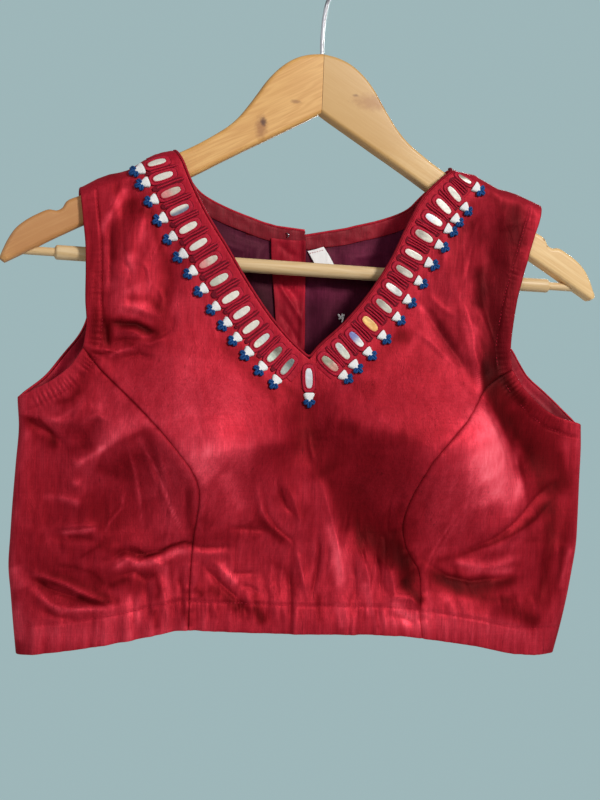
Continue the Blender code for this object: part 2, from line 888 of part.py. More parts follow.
def back_hem(side):
    """Grid of the turned-up hem of one half of the back."""
    start = CENTRE_X + side * SEAM_HALF
    limit = CENTRE_X - PLACKET_WIDTH - GAP if side < 0 else start
    rows = []
    for rise in (0.0, HEM_WIDTH):
        end = side_at_hem(side, rise)
        xs = [limit + (end - limit) * u for u in lining_columns(side)]
        if side < 0:
            xs = [start, (start + limit) / 2] + xs
        rows.append([(x, hem(x) + rise) for x in xs])
    return rows


def placket():
    """Grid of the strip inside the centre back that carries the fastening."""
    left = CENTRE_X - PLACKET_WIDTH
    right = CENTRE_X - SEAM_HALF
    edge = neck_line(BACK_NECKLINE, -1)
    tops = [level_of(edge, left), level_of(edge, (left + right) / 2), BACK_NECKLINE[-1][0]]
    xs = [left, (left + right) / 2, right]
    rows = []
    for share in np.linspace(0.0, 1.0, 14):
        rows.append([(x, top + (hem(x) + HEM_WIDTH + GAP - top) * share) for x, top in zip(xs, tops)])
    return rows


def lining(side):
    """Grid of the back lining: it fills what the facings, the placket and the hem leave."""
    limit = CENTRE_X - PLACKET_WIDTH - GAP if side < 0 else CENTRE_X + SEAM_HALF
    inner = offset([row[-1] for row in neck_facing(side)], side, LINING_GAP)
    outer = offset([row[-1] for row in armhole_facing(side, False)], -side, LINING_GAP)
    inner = [to_crest(inner[0][0])] + inner[1:-1] + [(limit, inner[-1][1])]
    foot = outer[-1][1] - LINING_GAP
    reach = abs(outer[-1][0])
    kept = [p for p in outer[1:] if abs(p[0]) < reach - 7.0]
    for turn in SIDE_TURNS[::-1]:
        z = level_of(outer, outer[-1][0] - side * turn) - LINING_GAP if turn else foot
        kept.append((across(SIDE, foot, side) - side * turn, z))
    outer = [to_crest(outer[0][0])] + kept
    beside_neck = len([p for p in outer if p[1] > BACK_SCYE[side][0][1] + 6.0])
    outer = turned_points(outer[:beside_neck], len(inner) - 3) + outer[beside_neck:]
    low_z = hem(limit) + HEM_WIDTH + LINING_GAP
    side_x = side_at_hem(side, HEM_WIDTH + LINING_GAP)
    side_low = hem(side_x) + HEM_WIDTH + LINING_GAP
    for k in range(1, 9):
        z = foot + (side_low - foot) * k / 8
        outer.append((across(SIDE, z, side), z))
    corner = inner[-1][1]
    rest = len(outer) - len(inner)
    for k in range(1, rest + 1):
        inner.append((limit, corner + (low_z - corner) * k / rest))
    shares = [k / (len(inner) - 1) for k in range(len(inner))]
    columns = lining_columns(side)
    top = [to_crest(inner[0][0] + (outer[0][0] - inner[0][0]) * u) for u in columns]
    xs = [limit + (side_x - limit) * u for u in columns]
    bottom = [(x, hem(x) + HEM_WIDTH + LINING_GAP) for x in xs]
    return coons(top, bottom, inner, outer, shares)


def turned_points(line, count):
    """Points down a line from the shoulder, close together where the cloth turns over the hanger."""
    line = np.asarray(line, float)
    step = np.linalg.norm(np.diff(line, axis=0), axis=1)
    length = np.concatenate([[0.0], np.cumsum(step)])
    places = list(TURN_STEPS) + list(np.linspace(TURN_STEPS[-1], length[-1], count)[1:])
    return [(np.interp(t, length, line[:, 0]), np.interp(t, length, line[:, 1])) for t in places]


for side in (-1, 1):
    name = NAMES[side]
    sheet_solid("neck_facing_" + name, [neck_facing(side)], False, FIRST_LAYER, FACING, "silk")
    for where, front in (("back_", False), ("front_", True)):
        grid = armhole_facing(side, front)
        sheet_solid("armhole_facing_" + where + name, [grid], front, FIRST_LAYER, FACING, "silk")
    sheet_solid("lining_back_" + name, [lining(side)], False, FIRST_LAYER, FACING, "lining")
sheet_solid("placket", [placket()], False, FIRST_LAYER, FACING, "silk")
half_columns = [0.5 * u for u in side_distances(200.0, 6)]
front_columns = sorted([0.5 - u for u in half_columns] + [0.5 + u for u in half_columns[1:]])
sheet_solid("hem_front", [hem_band(None, None, front_columns)], True, FIRST_LAYER, FACING, "silk")
for side in (-1, 1):
    sheet_solid("hem_back_" + NAMES[side], [back_hem(side)], False, FIRST_LAYER, FACING, "silk")
sheet_solid("size_label", [LABEL], False, SECOND_LAYER, FACING, "label")

# --- Blouse: piping and mirror work, on the outside ---------------------------------------------------------


def piping():
    """The cord round the V neck, from shoulder to shoulder."""
    path = []
    guides = []
    for side in (-1, 1):
        edge = [np.asarray(p, float) for p in neck_line(NECKLINE, side, 30)]
        moved = offset(edge, -side, PIPING_RADIUS + 0.5)
        line = []
        ways = []
        for k, (x, z) in enumerate(moved):
            if k and crest(x) - z < 0.4:
                continue
            if k == 0:
                z = crest(x) - 0.1
            line.append(on_form(x, z, True, -CLOTH / 2))
            ways.append(np.array([x - edge[k][0], 0.0, moved[k][1] - edge[k][1]]))
        if side > 0:
            line.reverse()
            ways = [-w for w in ways[::-1]]
        path += line[:-1] if side < 0 else line[1:]
        guides += ways[:-1] if side < 0 else ways[1:]
        if side < 0:
            x, z = V_X, V_Z + (PIPING_RADIUS + 0.5) * 1.35
            path.append(on_form(x, z, True, -CLOTH / 2))
            guides.append(np.array([0.7, 0.0, 0.7]))
    return path, guides


def guided_tube(name, path, guides, radius, sides, key):
    """A round cord along a path; each guide points to one side of it."""
    vertices = []
    for k, point in enumerate(path):
        tangent = path[min(k + 1, len(path) - 1)] - path[max(k - 1, 0)]
        tangent = tangent / np.linalg.norm(tangent)
        level = guides[k] - np.dot(guides[k], tangent) * tangent
        level = level / np.linalg.norm(level)
        deep = np.cross(tangent, level)
        for s in range(sides):
            angle = 2 * math.pi * s / sides
            vertices.append(point + radius * (math.cos(angle) * level + math.sin(angle) * deep))
    faces = []
    for k in range(len(path) - 1):
        for s in range(sides):
            a = k * sides + s
            b = k * sides + (s + 1) % sides
            faces.append((a, b, b + sides, a + sides))
    faces.append(tuple(range(sides)))
    faces.append(tuple(range(len(vertices) - sides, len(vertices)))[::-1])
    return add_object(name, vertices, faces, key)


def clipped(line, limit, side):
    """The part of a line that stays clear of the middle cell, carried on straight to its edge."""
    kept = [p for p in line if (p[0] - limit) * side > 1.0]
    last, before = kept[-1], kept[-2]
    slope = (last[1] - before[1]) / (last[0] - before[0])
    return kept + [np.array([limit, last[1] + slope * (limit - last[0])])]


def border(side):
    """Grid of the embroidered strip beside the neckline."""
    edge = neck_line(NECKLINE, side, 40)
    limit = V_X + side * (CELL_HALF + GAP)
    near = clipped(offset(edge, side, BORDER_START), limit, side)
    far = clipped(offset(edge, side, BORDER_END), limit, side)
    near = [to_crest(near[0][0])] + [p for p in near[1:] if crest(p[0]) - p[1] > 0.6]
    far = [to_crest(far[0][0])] + [p for p in far[1:] if crest(p[0]) - p[1] > 0.6]
    near = turned_points(near, 17)
    far = turned_points(far, 17)
    return [[a, ((a[0] + b[0]) / 2, (a[1] + b[1]) / 2), b] for a, b in zip(near, far)]


def mirror(side, along, distance):
    """Grid of one mirror, its long way square to the neckline."""
    edge = neck_line(NECKLINE, side, 200)
    steps = [np.linalg.norm(b - a) for a, b in zip(edge, edge[1:])]
    length = np.concatenate([[0.0], np.cumsum(steps)])
    k = int(np.searchsorted(length, along))
    tangent = edge[min(k + 4, 199)] - edge[max(k - 4, 0)]
    tangent = tangent / np.linalg.norm(tangent)
    normal = np.array([-tangent[1], tangent[0]]) * side
    middle = edge[k] + normal * distance
    rows = []
    for along_it, half in MIRROR_OUTLINE:
        spot = middle + normal * along_it
        rows.append([tuple(spot - tangent * half), tuple(spot + tangent * half)])
    return rows


cord, cord_guides = piping()
guided_tube("neck_piping", cord, cord_guides, PIPING_RADIUS, 6, "silk")
for side in (-1, 1):
    name = "border_" + NAMES[side]
    sheet_solid(name, [border(side)], True, BORDER_LIFT, BORDER_THICK, "embroidery")
cell = []
for z in np.linspace(CELL_TOP, CELL_LOW, 5):
    cell.append([(V_X + dx, z) for dx in (-CELL_HALF, 0.0, CELL_HALF)])
sheet_solid("border_middle", [cell], True, BORDER_LIFT, BORDER_THICK, "embroidery")

for side in (-1, 1):
    distance, places = MIRRORS[side]
    for number, along in enumerate(places, 1):
        grid = mirror(side, along, distance)
        sheet_solid(f"mirror_{NAMES[side]}_{number:02d}", [grid], True, MIRROR_LIFT, MIRROR_THICK, "mirror")
middle_z = (CELL_TOP + CELL_LOW) / 2
grid = [[(V_X - b, middle_z - a), (V_X + b, middle_z - a)] for a, b in MIRROR_OUTLINE]
sheet_solid("mirror_middle", [grid], True, MIRROR_LIFT, MIRROR_THICK, "mirror")
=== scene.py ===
"""Looks of the choli blouse on its wooden hanger.

Metres, +Z up, the origin at the seat of the hook, the front towards -Y. Tables are in millimetres, and left and
right are the viewer's.
"""

import math

import bpy
import numpy as np
from mathutils import Matrix, Vector


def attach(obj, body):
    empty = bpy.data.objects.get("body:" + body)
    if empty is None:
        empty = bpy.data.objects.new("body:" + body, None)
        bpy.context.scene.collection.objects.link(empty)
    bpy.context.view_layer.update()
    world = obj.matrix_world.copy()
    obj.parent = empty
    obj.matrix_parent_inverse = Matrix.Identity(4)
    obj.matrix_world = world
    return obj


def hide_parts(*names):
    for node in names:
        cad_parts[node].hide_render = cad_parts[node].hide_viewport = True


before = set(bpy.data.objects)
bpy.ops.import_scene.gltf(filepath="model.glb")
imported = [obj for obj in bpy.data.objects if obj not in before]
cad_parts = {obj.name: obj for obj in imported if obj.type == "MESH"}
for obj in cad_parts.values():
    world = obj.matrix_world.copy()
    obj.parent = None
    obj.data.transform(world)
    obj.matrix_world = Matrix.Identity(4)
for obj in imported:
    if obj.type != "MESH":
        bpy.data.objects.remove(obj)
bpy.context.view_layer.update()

MM = 0.001
NAMES = {-1: "left", 1: "right"}
scene = bpy.context.scene
scene.view_settings.view_transform = "Standard"

# --- Camera and light ---------------------------------------------------------------------------------------

CAMERA_PLACE = (-0.25990217, -0.96184595, -0.3488997)
CAMERA_AHEAD = (0.25522169, 0.96682339, 0.01069696)
CAMERA_UP = (-0.04187565, 0.0, 0.99912283)
CAMERA_LENS = 61.2
BACKGROUND = (0.342, 0.470, 0.487)
AMBIENT = (0.55, 0.58, 0.62)
AMBIENT_STRENGTH = 0.27
LIT_POINT = (0.0, 0.0, -0.36)

# Lamps: name, place, side of the square, watts, colour
LAMPS = (
    ("key_lamp", (1.46, -2.36, 1.03), 0.60, 68.0, (1.0, 0.975, 0.95)),
    ("fill_lamp", (-1.1, -2.3, 0.7), 1.2, 12.0, (0.98, 0.99, 1.0)),
    ("back_lamp", (1.1, 1.9, 0.2), 0.8, 38.0, (1.0, 0.98, 0.96)),
    ("side_lamp", (-1.7, 0.1, 0.4), 0.9, 4.0, (0.97, 0.98, 1.0)),
)


def placed(name, data):
    """A new object in the scene."""
    obj = bpy.data.objects.new(name, data)
    scene.collection.objects.link(obj)
    return obj


camera_data = bpy.data.cameras.new("camera")
camera_data.lens = CAMERA_LENS
camera_data.sensor_width = 36.0
ahead = Vector(CAMERA_AHEAD).normalized()
upward = Vector(CAMERA_UP)
upward = (upward - upward.dot(ahead) * ahead).normalized()
turn = Matrix((ahead.cross(upward), upward, -ahead)).transposed()
scene.camera = placed("camera", camera_data)
scene.camera.matrix_world = Matrix.Translation(CAMERA_PLACE) @ turn.to_4x4()

for name, place, size, watts, colour in LAMPS:
    data = bpy.data.lights.new(name, "AREA")
    data.shape = "SQUARE"
    data.size = size
    data.energy = watts
    data.color = colour
    lamp = placed(name, data)
    lamp.location = place
    lamp.rotation_euler = (Vector(LIT_POINT) - Vector(place)).to_track_quat("-Z", "Y").to_euler()

# the camera sees the plain background, and everything else a dimmer sky
scene.world = bpy.data.worlds.new("world")
scene.world.use_nodes = True
tree = scene.world.node_tree
tree.nodes.clear()
both = tree.nodes.new("ShaderNodeMixShader")
for socket, colour, strength in ((1, AMBIENT, AMBIENT_STRENGTH), (2, BACKGROUND, 1.0)):
    sky = tree.nodes.new("ShaderNodeBackground")
    sky.inputs["Color"].default_value = (*colour, 1.0)
    sky.inputs["Strength"].default_value = strength
    tree.links.new(sky.outputs[0], both.inputs[socket])
tree.links.new(tree.nodes.new("ShaderNodeLightPath").outputs["Is Camera Ray"], both.inputs[0])
tree.links.new(both.outputs[0], tree.nodes.new("ShaderNodeOutputWorld").inputs["Surface"])

# --- Sizes --------------------------------------------------------------------------------------------------

GAP = 0.5
SEAM_HALF = 0.32
CENTRE_X = -4.0
FACING_WIDTH = 10.0
NECK_FACING_WIDTH = 11.5
HEM_WIDTH = 19.5
PLACKET_WIDTH = 26.0
PIPING_RADIUS = 1.0
SIDE_RADIUS = 5.0
SIDE_REACH = 130.0
CREST_RADIUS = 10.0
CREST_SLOPE = 0.91
CLOTH = 0.9
CELL = 1.45
BACK_CELL = 2.2
LINING_CELL = 3.4

# Top of the shoulders: distance from the middle, height on the left, height on the right
CREST = (
    (60, -138.8, -142), (100, -159, -156), (220, -219.6, -198),
)
# How far the shoulder line sinks (below 0) or rises: x, mm
SHOULDER = (
    (-190, -1), (-180, 0.2), (-170, -0.8), (-160, 0.4), (-152, 0), (-145, -1.7), (-139, -2.5), (-133, -1.5),
    (-128, -0.2), (-120, 0.2), (-114, -0.5), (-109, -1.8), (-104, -3), (0, -3), (108, -3), (114, -1.4), (121, 0.3),
    (131, -0.4), (141, -1.3), (148, 0.3), (156, 1.4), (168, 1.6), (178, 1.6), (186, 1.2),
)

# Edges: height, x on the left, x on the right
NECKLINE = (
    (-150, -114, 107), (-163, -107.5, 99.5), (-184, -98.7, 80.2), (-208, -85.8, 67.4), (-233, -68.8, 56),
    (-259, -51.6, 40), (-283, -33.2, 20.4), (-300, -16.5, 2.6), (-309.3, -4.9, -4.9),
)
V_X = NECKLINE[-1][1]
V_Z = NECKLINE[-1][0]
BACK_NECKLINE = (
    (-150, -112, 108), (-163, -105.5, 99), (-172, -99.5, 93.5), (-182, -91.3, 84.5), (-192, -81.4, 74),
    (-200, -64, 56), (-206, -45, 36), (-211, -24, 16), (-213, -4, -4),
)
# armhole down to the princess seam
ARMHOLE = (
    (-175, -173, 178.5), (-183, -172.5, 176.5), (-199, -171.5, 171.8), (-220, -168.8, 165.2), (-237, -166.6, 160.7),
    (-256, -165.7, 155.8), (-275, -165.2, 153), (-292, -163.8, 152), (-309.3, -165.5, 153.8),
)
SIDE = (
    (-150, -208.5, 218.5), (-345, -208.5, 218.5), (-365, -206.8, 219.3), (-390, -207.8, 219), (-420, -209, 218.8),
    (-440, -209.5, 218.3), (-462, -209.8, 215.2), (-480, -207.6, 212.2), (-500, -205.2, 208), (-523, -202.2, 202.2),
)
PRINCESS = (
    (-309.3, -165.5, 153.8), (-322.1, -155.1, 134), (-334, -142.5, 124.5), (-350, -126, 110.8),
    (-365.4, -111.5, 95.5), (-380.4, -99.1, 83.6), (-391.5, -90.2, 78.8), (-403, -84.8, 74.6), (-420, -83.6, 70.4),
    (-432, -84.8, 69.8), (-446, -85.6, 74.6), (-460, -86, 84), (-475, -86.4, 85.6), (-490, -86.5, 84.6),
    (-510, -86.5, 87.2),
)

# Rest of the armhole, down to the side seam: x and height, front then back, left and right
SCYE = {
    (True, -1): (
        (-165.5, -309.3), (-169, -315), (-174.3, -322.5), (-184.5, -331.5), (-197, -339), (-208.5, -345),
    ),
    (True, 1): (
        (153.8, -309.3), (158.5, -315.5), (164, -321.8), (172, -328.6), (183, -336), (197, -343), (218.5, -348.5),
    ),
    (False, -1): (
        (-164.6, -285), (-169.5, -301.2), (-179.7, -316.6), (-189.6, -329.4), (-202, -339.8), (-208.5, -345),
    ),
    (False, 1): (
        (154, -285), (164.5, -291), (172.7, -302.9), (179.8, -312.7), (190.7, -322.6), (204, -335), (218.5, -348.5),
    ),
}

# Hem: x, height
HEM = (
    (-215, -522.4), (-201, -521.6), (-180, -518.9), (-152, -514.6), (-127, -509.5), (-110, -505.5), (-90, -501.8),
    (-74, -502.2), (-4, -504.6), (53, -505.2), (71, -506.2), (101, -509.8), (131, -514.2), (163, -521),
    (202, -522.4), (225, -522.6),
)

# Distance of each sheet of cloth from the middle plane of the hanger: height, front, back
SHEET = (
    (-100, 15, 15), (-230, 15, 15), (-300, 17, 15), (-350, 20, 17), (-420, 22, 19), (-480, 21, 19), (-530, 20, 18),
)

# Bust: middle x, middle z, reach to the side, to the centre, upwards and downwards, height
CUPS = (
    (-84, -378, 84, 90, 96, 74, 17), (70, -378, 90, 84, 96, 74, 17),
)

# Creases: height (below 0 for a trough), width to the left of its course, width to the right, crispness, then the
# x and z of each point of the course. Left of a course that runs down is +x; of one that runs right it is up.
FRONT_FOLDS = (
    # left strap
    (2.6, 9, 8, 0.2, -126, -198, -130, -222, -135, -247, -139, -266, -143, -285),
    (-1.2, 4, 4, 0.3, -150, -205, -151, -230, -150, -250, -148, -276),
    (1.2, 3, 3, 0.4, -143, -188, -147, -204, -152, -215, -156, -230),
    (-1.8, 8, 7, 0.1, -136, -186, -138, -205, -143, -222),
    (1, 2.5, 2.5, 0.5, -110, -222, -118, -236, -123, -252),
    (-1.6, 8, 8, 0.1, -106, -240, -110, -262, -112, -284),
    (0.9, 2.4, 2.4, 0.5, -131, -243, -124, -251, -121, -262, -126, -274),
    (-0.9, 2.4, 2.4, 0.5, -143, -246, -137, -252, -134, -262),
    (0.9, 2.2, 2.2, 0.5, -117, -262, -112, -272, -116, -283),
    # crumple at the left armhole
    (-2.4, 1.8, 4.6, 0.5, -150, -289, -140, -290, -130, -290, -123, -293, -115, -297),
    (-2.6, 2.6, 2.6, 0.4, -151, -287, -151, -296, -150, -303, -148, -309),
    (-1.7, 2.2, 2.2, 0.5, -148, -308, -144, -303, -138, -301, -129, -302),
    (1.6, 5, 3.6, 0.2, -147, -280, -132, -279, -117, -284),
    (1.6, 2.6, 3.2, 0.5, -163, -311, -153, -309, -142, -311, -130, -306, -119, -309),
    (-1.8, 3, 2.6, 0.4, -140, -315, -128, -311, -117, -314),
    (2, 4, 3.4, 0.3, -143, -296, -133, -296, -124, -300),
    (1.7, 3, 3, 0.4, -134, -303, -120, -304, -107, -297),
    (-1.2, 3, 3, 0.4, -116, -301, -106, -292, -103, -280),
    # left side panel
    (1.9, 2.8, 3.2, 0.4, -193, -357, -181, -361, -171, -359, -166, -350, -159, -341),
    (1.8, 2.8, 3, 0.4, -170, -366, -162, -359, -154, -355, -145, -360),
    (-2.4, 3.6, 5, 0.3, -205, -356, -197, -363, -186, -368, -176, -377),
    (-1.8, 6, 6, 0.2, -152, -352, -160, -368, -168, -380),
    (1.4, 3, 3.2, 0.3, -172, -389, -162, -387),
    (1.5, 3, 3.2, 0.3, -172, -402, -164, -404),
    (1.7, 3, 3.4, 0.3, -182, -412, -173, -414, -162, -416),
    (2.1, 2.4, 3.6, 0.4, -181, -434, -166, -432, -150, -431),
    (-1.6, 6, 4, 0.2, -184, -441, -164, -440, -146, -443),
    (0.9, 1.6, 1.6, 0.6, -133, -368, -129, -398, -125, -426),
    (0.9, 1.6, 1.6, 0.6, -127, -368, -117, -396, -108, -411, -99, -426),
    (0.9, 1.8, 1.8, 0.6, -137, -412, -142, -420, -150, -432),
    (0.7, 1.5, 1.5, 0.6, -115, -372, -109, -395, -102, -412),
    (-0.8, 2, 2, 0.5, -118, -376, -113, -402, -110, -432),
    (0.7, 1.5, 1.5, 0.6, -140, -384, -138, -404, -134, -424),
    (-1.4, 2, 2, 0.5, -94, -398, -92, -420, -90, -441),
    # falling in under the left bust
    (4, 30, 13, 0, -152, -388, -139, -372, -128, -364, -116, -366, -104, -377, -94, -388),
    # tuck under the left bust
    (-2.2, 4, 2, 0.5, -151, -457, -142, -455, -132, -448, -122, -451, -114, -450, -102, -446, -92, -441, -84, -442),
    (1.9, 2, 5, 0.5, -145, -462, -133, -453, -123, -457, -115, -453, -106, -457, -98, -450, -90, -446),
    (-1.9, 3, 3, 0.4, -137, -466, -125, -462, -116, -468, -108, -462),
    (2, 3.4, 3.4, 0.3, -109, -459, -105, -475, -101, -492, -99, -503),
    (-1.9, 3.2, 3.2, 0.3, -118, -466, -115, -480, -112, -500),
    (-1.6, 2.6, 2.6, 0.3, -95, -456, -92, -474, -90, -494),
    (-1.2, 2.6, 2.6, 0.3, -127, -472, -124, -488, -125, -504),
    # pocket fold at the lower left
    (2.4, 4, 1.8, 0.6, -201, -460, -187, -468, -173, -472, -156, -480, -142, -486, -131, -482),
    (-2.8, 2.4, 2.4, 0.4, -196, -468, -182, -476, -168, -480, -153, -485),
    (2.3, 1.8, 4, 0.6, -201, -471, -190, -480, -178, -487, -164, -489, -142, -489, -130, -485),
    (-1.5, 3, 3, 0.3, -190, -488, -177, -494, -160, -496),
    (1.2, 3, 3, 0.3, -206, -476, -207, -492, -205, -506),
    # under the left bust, in the middle panel
    (3.4, 34, 8, 0.1, -96, -386, -81, -380, -67, -376, -52, -373, -38, -370, -24, -368, -5, -366),
    (2, 4.5, 2.6, 0.4, -44, -390, -41, -405, -38, -417, -31, -428, -20, -436, -10, -444),
    (-1.9, 2.4, 2.4, 0.5, -27, -393, -24, -405, -19, -415, -12, -421),
    (-1.9, 2.8, 2.8, 0.5, -37, -401, -33, -420, -25, -430, -14, -438, -8, -448),
    (1.4, 2.4, 2.4, 0.5, -20, -398, -14, -410, -9, -424, -9, -436),
    (3, 3.6, 9, 0.3, -2, -388, 7, -400, 15, -423, 20, -441, 24, -459, 29, -478),
    (-2.4, 16, 5, 0.1, 24, -392, 34, -424, 40, -446),
    (-2.6, 3, 3, 0.4, 5, -430, 7, -446, 6, -462, 2, -481),
    (-1.4, 2, 2, 0.5, 13, -437, 14, -452, 11, -466),
    (1.9, 2.8, 2.8, 0.4, -12, -436, -8, -453, -3, -472, 0, -484),
    (2.2, 2.6, 4, 0.4, 36, -439, 41, -451, 45, -466, 47, -486),
    (-2, 3, 3, 0.3, 50, -446, 54, -462, 54, -478),
    (-1.6, 2.4, 2.4, 0.4, 32, -452, 35, -466, 36, -482),
    (1.3, 2.6, 2.6, 0.3, 60, -458, 64, -470, 64, -484),
    (2.4, 3, 4.5, 0.4, 56, -482, 66, -478, 76, -479, 88, -488),
    (-1.8, 3, 3, 0.3, 62, -491, 72, -494, 82, -498),
    (-1.5, 3, 2, 0.5, -89, -444, -73, -445, -56, -444),
    (1.1, 2, 5, 0.5, -89, -448, -73, -449, -56, -448),
    (-1.8, 4, 4, 0.4, -61, -431, -40, -431, -30, -433),
    (0.7, 2, 2, 0.5, -58, -430, -57, -456, -56, -483),
    (-2.2, 3.2, 3.2, 0.4, -80, -452, -74, -460, -65, -469, -54, -478, -44, -490),
    (1.5, 3, 3, 0.3, -72, -452, -62, -462, -50, -473),
    (-1.2, 2.2, 2.2, 0.5, -59, -462, -48, -463, -37, -462),
    (-1.2, 2.2, 2.2, 0.5, -50, -471, -42, -473, -34, -477),
    (-2.1, 3, 3, 0.3, -14, -452, -13, -475, -13, -503),
    (-1, 1.8, 1.8, 0.5, -30, -468, -29, -484, -30, -500),
    # right strap
    (-2.6, 9, 9, 0.1, 136, -184, 138, -205, 136, -228, 130, -250),
    (2, 10, 10, 0.1, 90, -212, 99, -238, 105, -263),
    (3.6, 4.5, 7, 0.4, 110, -256, 115, -268, 120, -284, 121, -296, 126, -311, 129, -331),
    (-3.6, 8, 6, 0.15, 128, -242, 132, -262, 140, -287, 146, -309, 147, -328),
    (1.6, 2.6, 2.6, 0.5, 124, -262, 134, -282, 141, -300),
    (1.2, 2.4, 2.4, 0.5, 84, -256, 95, -266, 106, -272),
    (-2.4, 5, 5, 0.2, 78, -262, 97, -286, 111, -303, 117, -317),
    (0.9, 2.2, 2.2, 0.5, 72, -282, 88, -292, 104, -306, 112, -318),
    # falling in under the right bust
    (3.2, 36, 15, 0, -8, -347, 7, -350, 19, -350, 36, -354, 56, -358, 82, -365, 98, -372),
    (0.8, 2, 2, 0.5, -4, -358, -3, -372, 2, -386),
    # right bust and side panel
    (5.2, 7, 24, 0.1, 117, -330, 129, -348, 141, -372, 151, -398, 155, -418),
    (-4.2, 18, 8, 0.1, 141, -326, 156, -350, 168, -376, 175, -400),
    (-1.7, 3.2, 2, 0.4, 198, -392, 180, -406, 163, -420, 146, -433, 122, -444),
    (1.2, 6, 4, 0.1, 188, -408, 170, -424, 146, -442, 118, -458),
    (-1.4, 3, 2.4, 0.3, 88, -452, 107, -464, 126, -468, 160, -463),
    (1.3, 6, 3.4, 0.1, 101, -444, 116, -454, 134, -458, 154, -454, 170, -448),
    (1, 2, 2, 0.5, 109, -365, 114, -390, 116, -420, 117, -442),
    (0.8, 1.8, 1.8, 0.5, 98, -384, 101, -404, 100, -428),
    (-0.9, 2, 2, 0.5, 124, -392, 127, -412, 124, -434),
    (-1.2, 3, 3, 0.3, 88, -384, 84, -410, 86, -438),
    (1.4, 4, 4, 0.2, 196, -430, 199, -452, 197, -478),
    (-1.6, 4, 4, 0.2, 186, -440, 188, -462, 184, -486),
    (1.3, 3.4, 3.4, 0.3, 146, -474, 150, -488, 152, -504),
    (-1.3, 3, 3, 0.3, 158, -472, 163, -486, 164, -502),
    (1.1, 3, 3, 0.3, 176, -476, 179, -490, 180, -504),
    (-1.3, 3, 3, 0.3, 112, -476, 116, -490, 118, -504),
)
BACK_FOLDS = (
    (2.6, 8, 9, 0.2, -128, -190, -131, -220, -126, -250),
    (-2, 6, 6, 0.2, -144, -200, -146, -230, -142, -262),
    (2.4, 9, 7, 0.2, 124, -186, 121, -214, 126, -244),
    (-2, 6, 6, 0.2, 140, -206, 137, -236, 141, -262),
    (3, 5, 12, 0.3, -150, -300, -120, -318, -88, -340, -62, -372),
    (-2.2, 6, 8, 0.2, -148, -318, -118, -338, -92, -362),
    (2.8, 12, 5, 0.3, 146, -298, 116, -320, 84, -346, 60, -380),
    (-2.2, 8, 6, 0.2, 150, -322, 120, -344, 96, -368),
    (2.4, 5, 4, 0.3, -104, -402, -98, -434, -95, -470, -97, -500),
    (-1.8, 4, 5, 0.2, -118, -420, -112, -448, -110, -486),
    (2.2, 4, 6, 0.3, -46, -410, -42, -440, -45, -478),
    (2.6, 6, 4, 0.3, 52, -398, 58, -430, 56, -468, 59, -500),
    (-2, 5, 5, 0.2, 70, -416, 74, -446, 72, -486),
    (1.8, 4, 4, 0.3, 120, -424, 128, -452, 126, -492),
    (2.2, 3, 6, 0.4, -196, -398, -176, -404, -152, -402),
    (-2.2, 4, 4, 0.3, -190, -452, -168, -459, -144, -456),
    (2, 5, 3, 0.4, 150, -392, 176, -398, 202, -390),
    (-2, 4, 4, 0.3, 148, -446, 172, -456, 198, -450),
    (1.4, 3, 3, 0.4, -30, -300, -36, -330, -34, -362),
    (1.3, 3, 3, 0.4, 22, -290, 30, -322, 28, -352),
)
# folds of the placket, where it hangs straight
PLACKET_FOLDS = (
    (-1.6, 2.2, 2.6, 0.3, -29, -244, -22, -260, -13, -274, -6, -288),
    (1.6, 3, 3, 0.2, -24, -243, -17, -257, -9, -268),
    (-1.3, 2, 2, 0.3, -8, -232, -12, -246, -20, -262),
    (1.3, 2.4, 2.4, 0.3, -28, -272, -17, -288, -9, -304),
    (-1.2, 2, 2.4, 0.3, -29, -292, -18, -308, -8, -320),
    (1, 2, 3, 0.3, -26, -222, -18, -229, -8, -233),
    (1.1, 2.6, 2.6, 0.2, -26, -306, -17, -322, -9, -338),
)

# Broad swells and hollows: middle x and z, half width, half height, turn in degrees, height
FRONT_SWELLS = (
    (112, -370, 50, 58, 14, 6.5), (-66, -364, 52, 46, -8, 4.5), (50, -412, 48, 56, 14, -7.5),
    (-122, -414, 44, 50, 0, -7), (-52, -410, 34, 34, 0, -4), (-4, -352, 24, 40, 0, -4),
    (-26, -452, 60, 34, 0, -2.5), (186, -378, 36, 80, 0, -7), (-180, -404, 32, 62, 0, -5),
    (112, -452, 50, 34, 0, -4), (-108, -232, 26, 60, -12, -3), (-140, -240, 18, 56, -6, 2),
    (98, -232, 24, 56, 10, 1.5), (130, -226, 20, 60, 6, -5), (-132, -318, 34, 26, 0, -2),
)
BACK_SWELLS = (
    (-110, -330, 60, 60, 0, 4), (100, -330, 60, 60, 0, 4), (-60, -430, 60, 60, 0, -3), (60, -424, 60, 60, 0, -3),
    (-180, -430, 34, 66, 0, -4), (186, -430, 34, 66, 0, -4),
)

# Painted shade (below 0) and painted light on the silk, in the same columns, the last one the amount
FRONT_PAINTED_SHADING = (
    (104, -210, 30, 50, 0, -0.3), (66, -326, 52, 40, 0, -0.45), (192, -380, 36, 90, 0, -0.45),
    (50, -402, 54, 54, 10, -0.9), (36, -374, 44, 24, 0, -0.3), (62, -432, 36, 34, 0, -0.35),
    (-4, -346, 34, 40, 0, -0.75), (150, -450, 60, 50, 0, -0.3), (-121, -408, 50, 56, -6, -0.35),
    (-190, -430, 36, 80, 0, -0.35), (-172, -474, 50, 34, 0, -0.45), (-156, -250, 24, 66, 0, -0.4),
    (-138, -298, 40, 22, 0, -0.5), (-102, -250, 22, 50, -10, -0.4), (-60, -356, 44, 34, 0, 0.2),
    (-118, -300, 30, 30, 0, -0.15),
)
BACK_PAINTED_SHADING = (
    (-150, -360, 60, 120, 0, -0.35), (160, -380, 60, 110, 0, -0.35), (-30, -440, 60, 60, 0, -0.3),
    (70, -300, 60, 70, 0, 0.12),
)
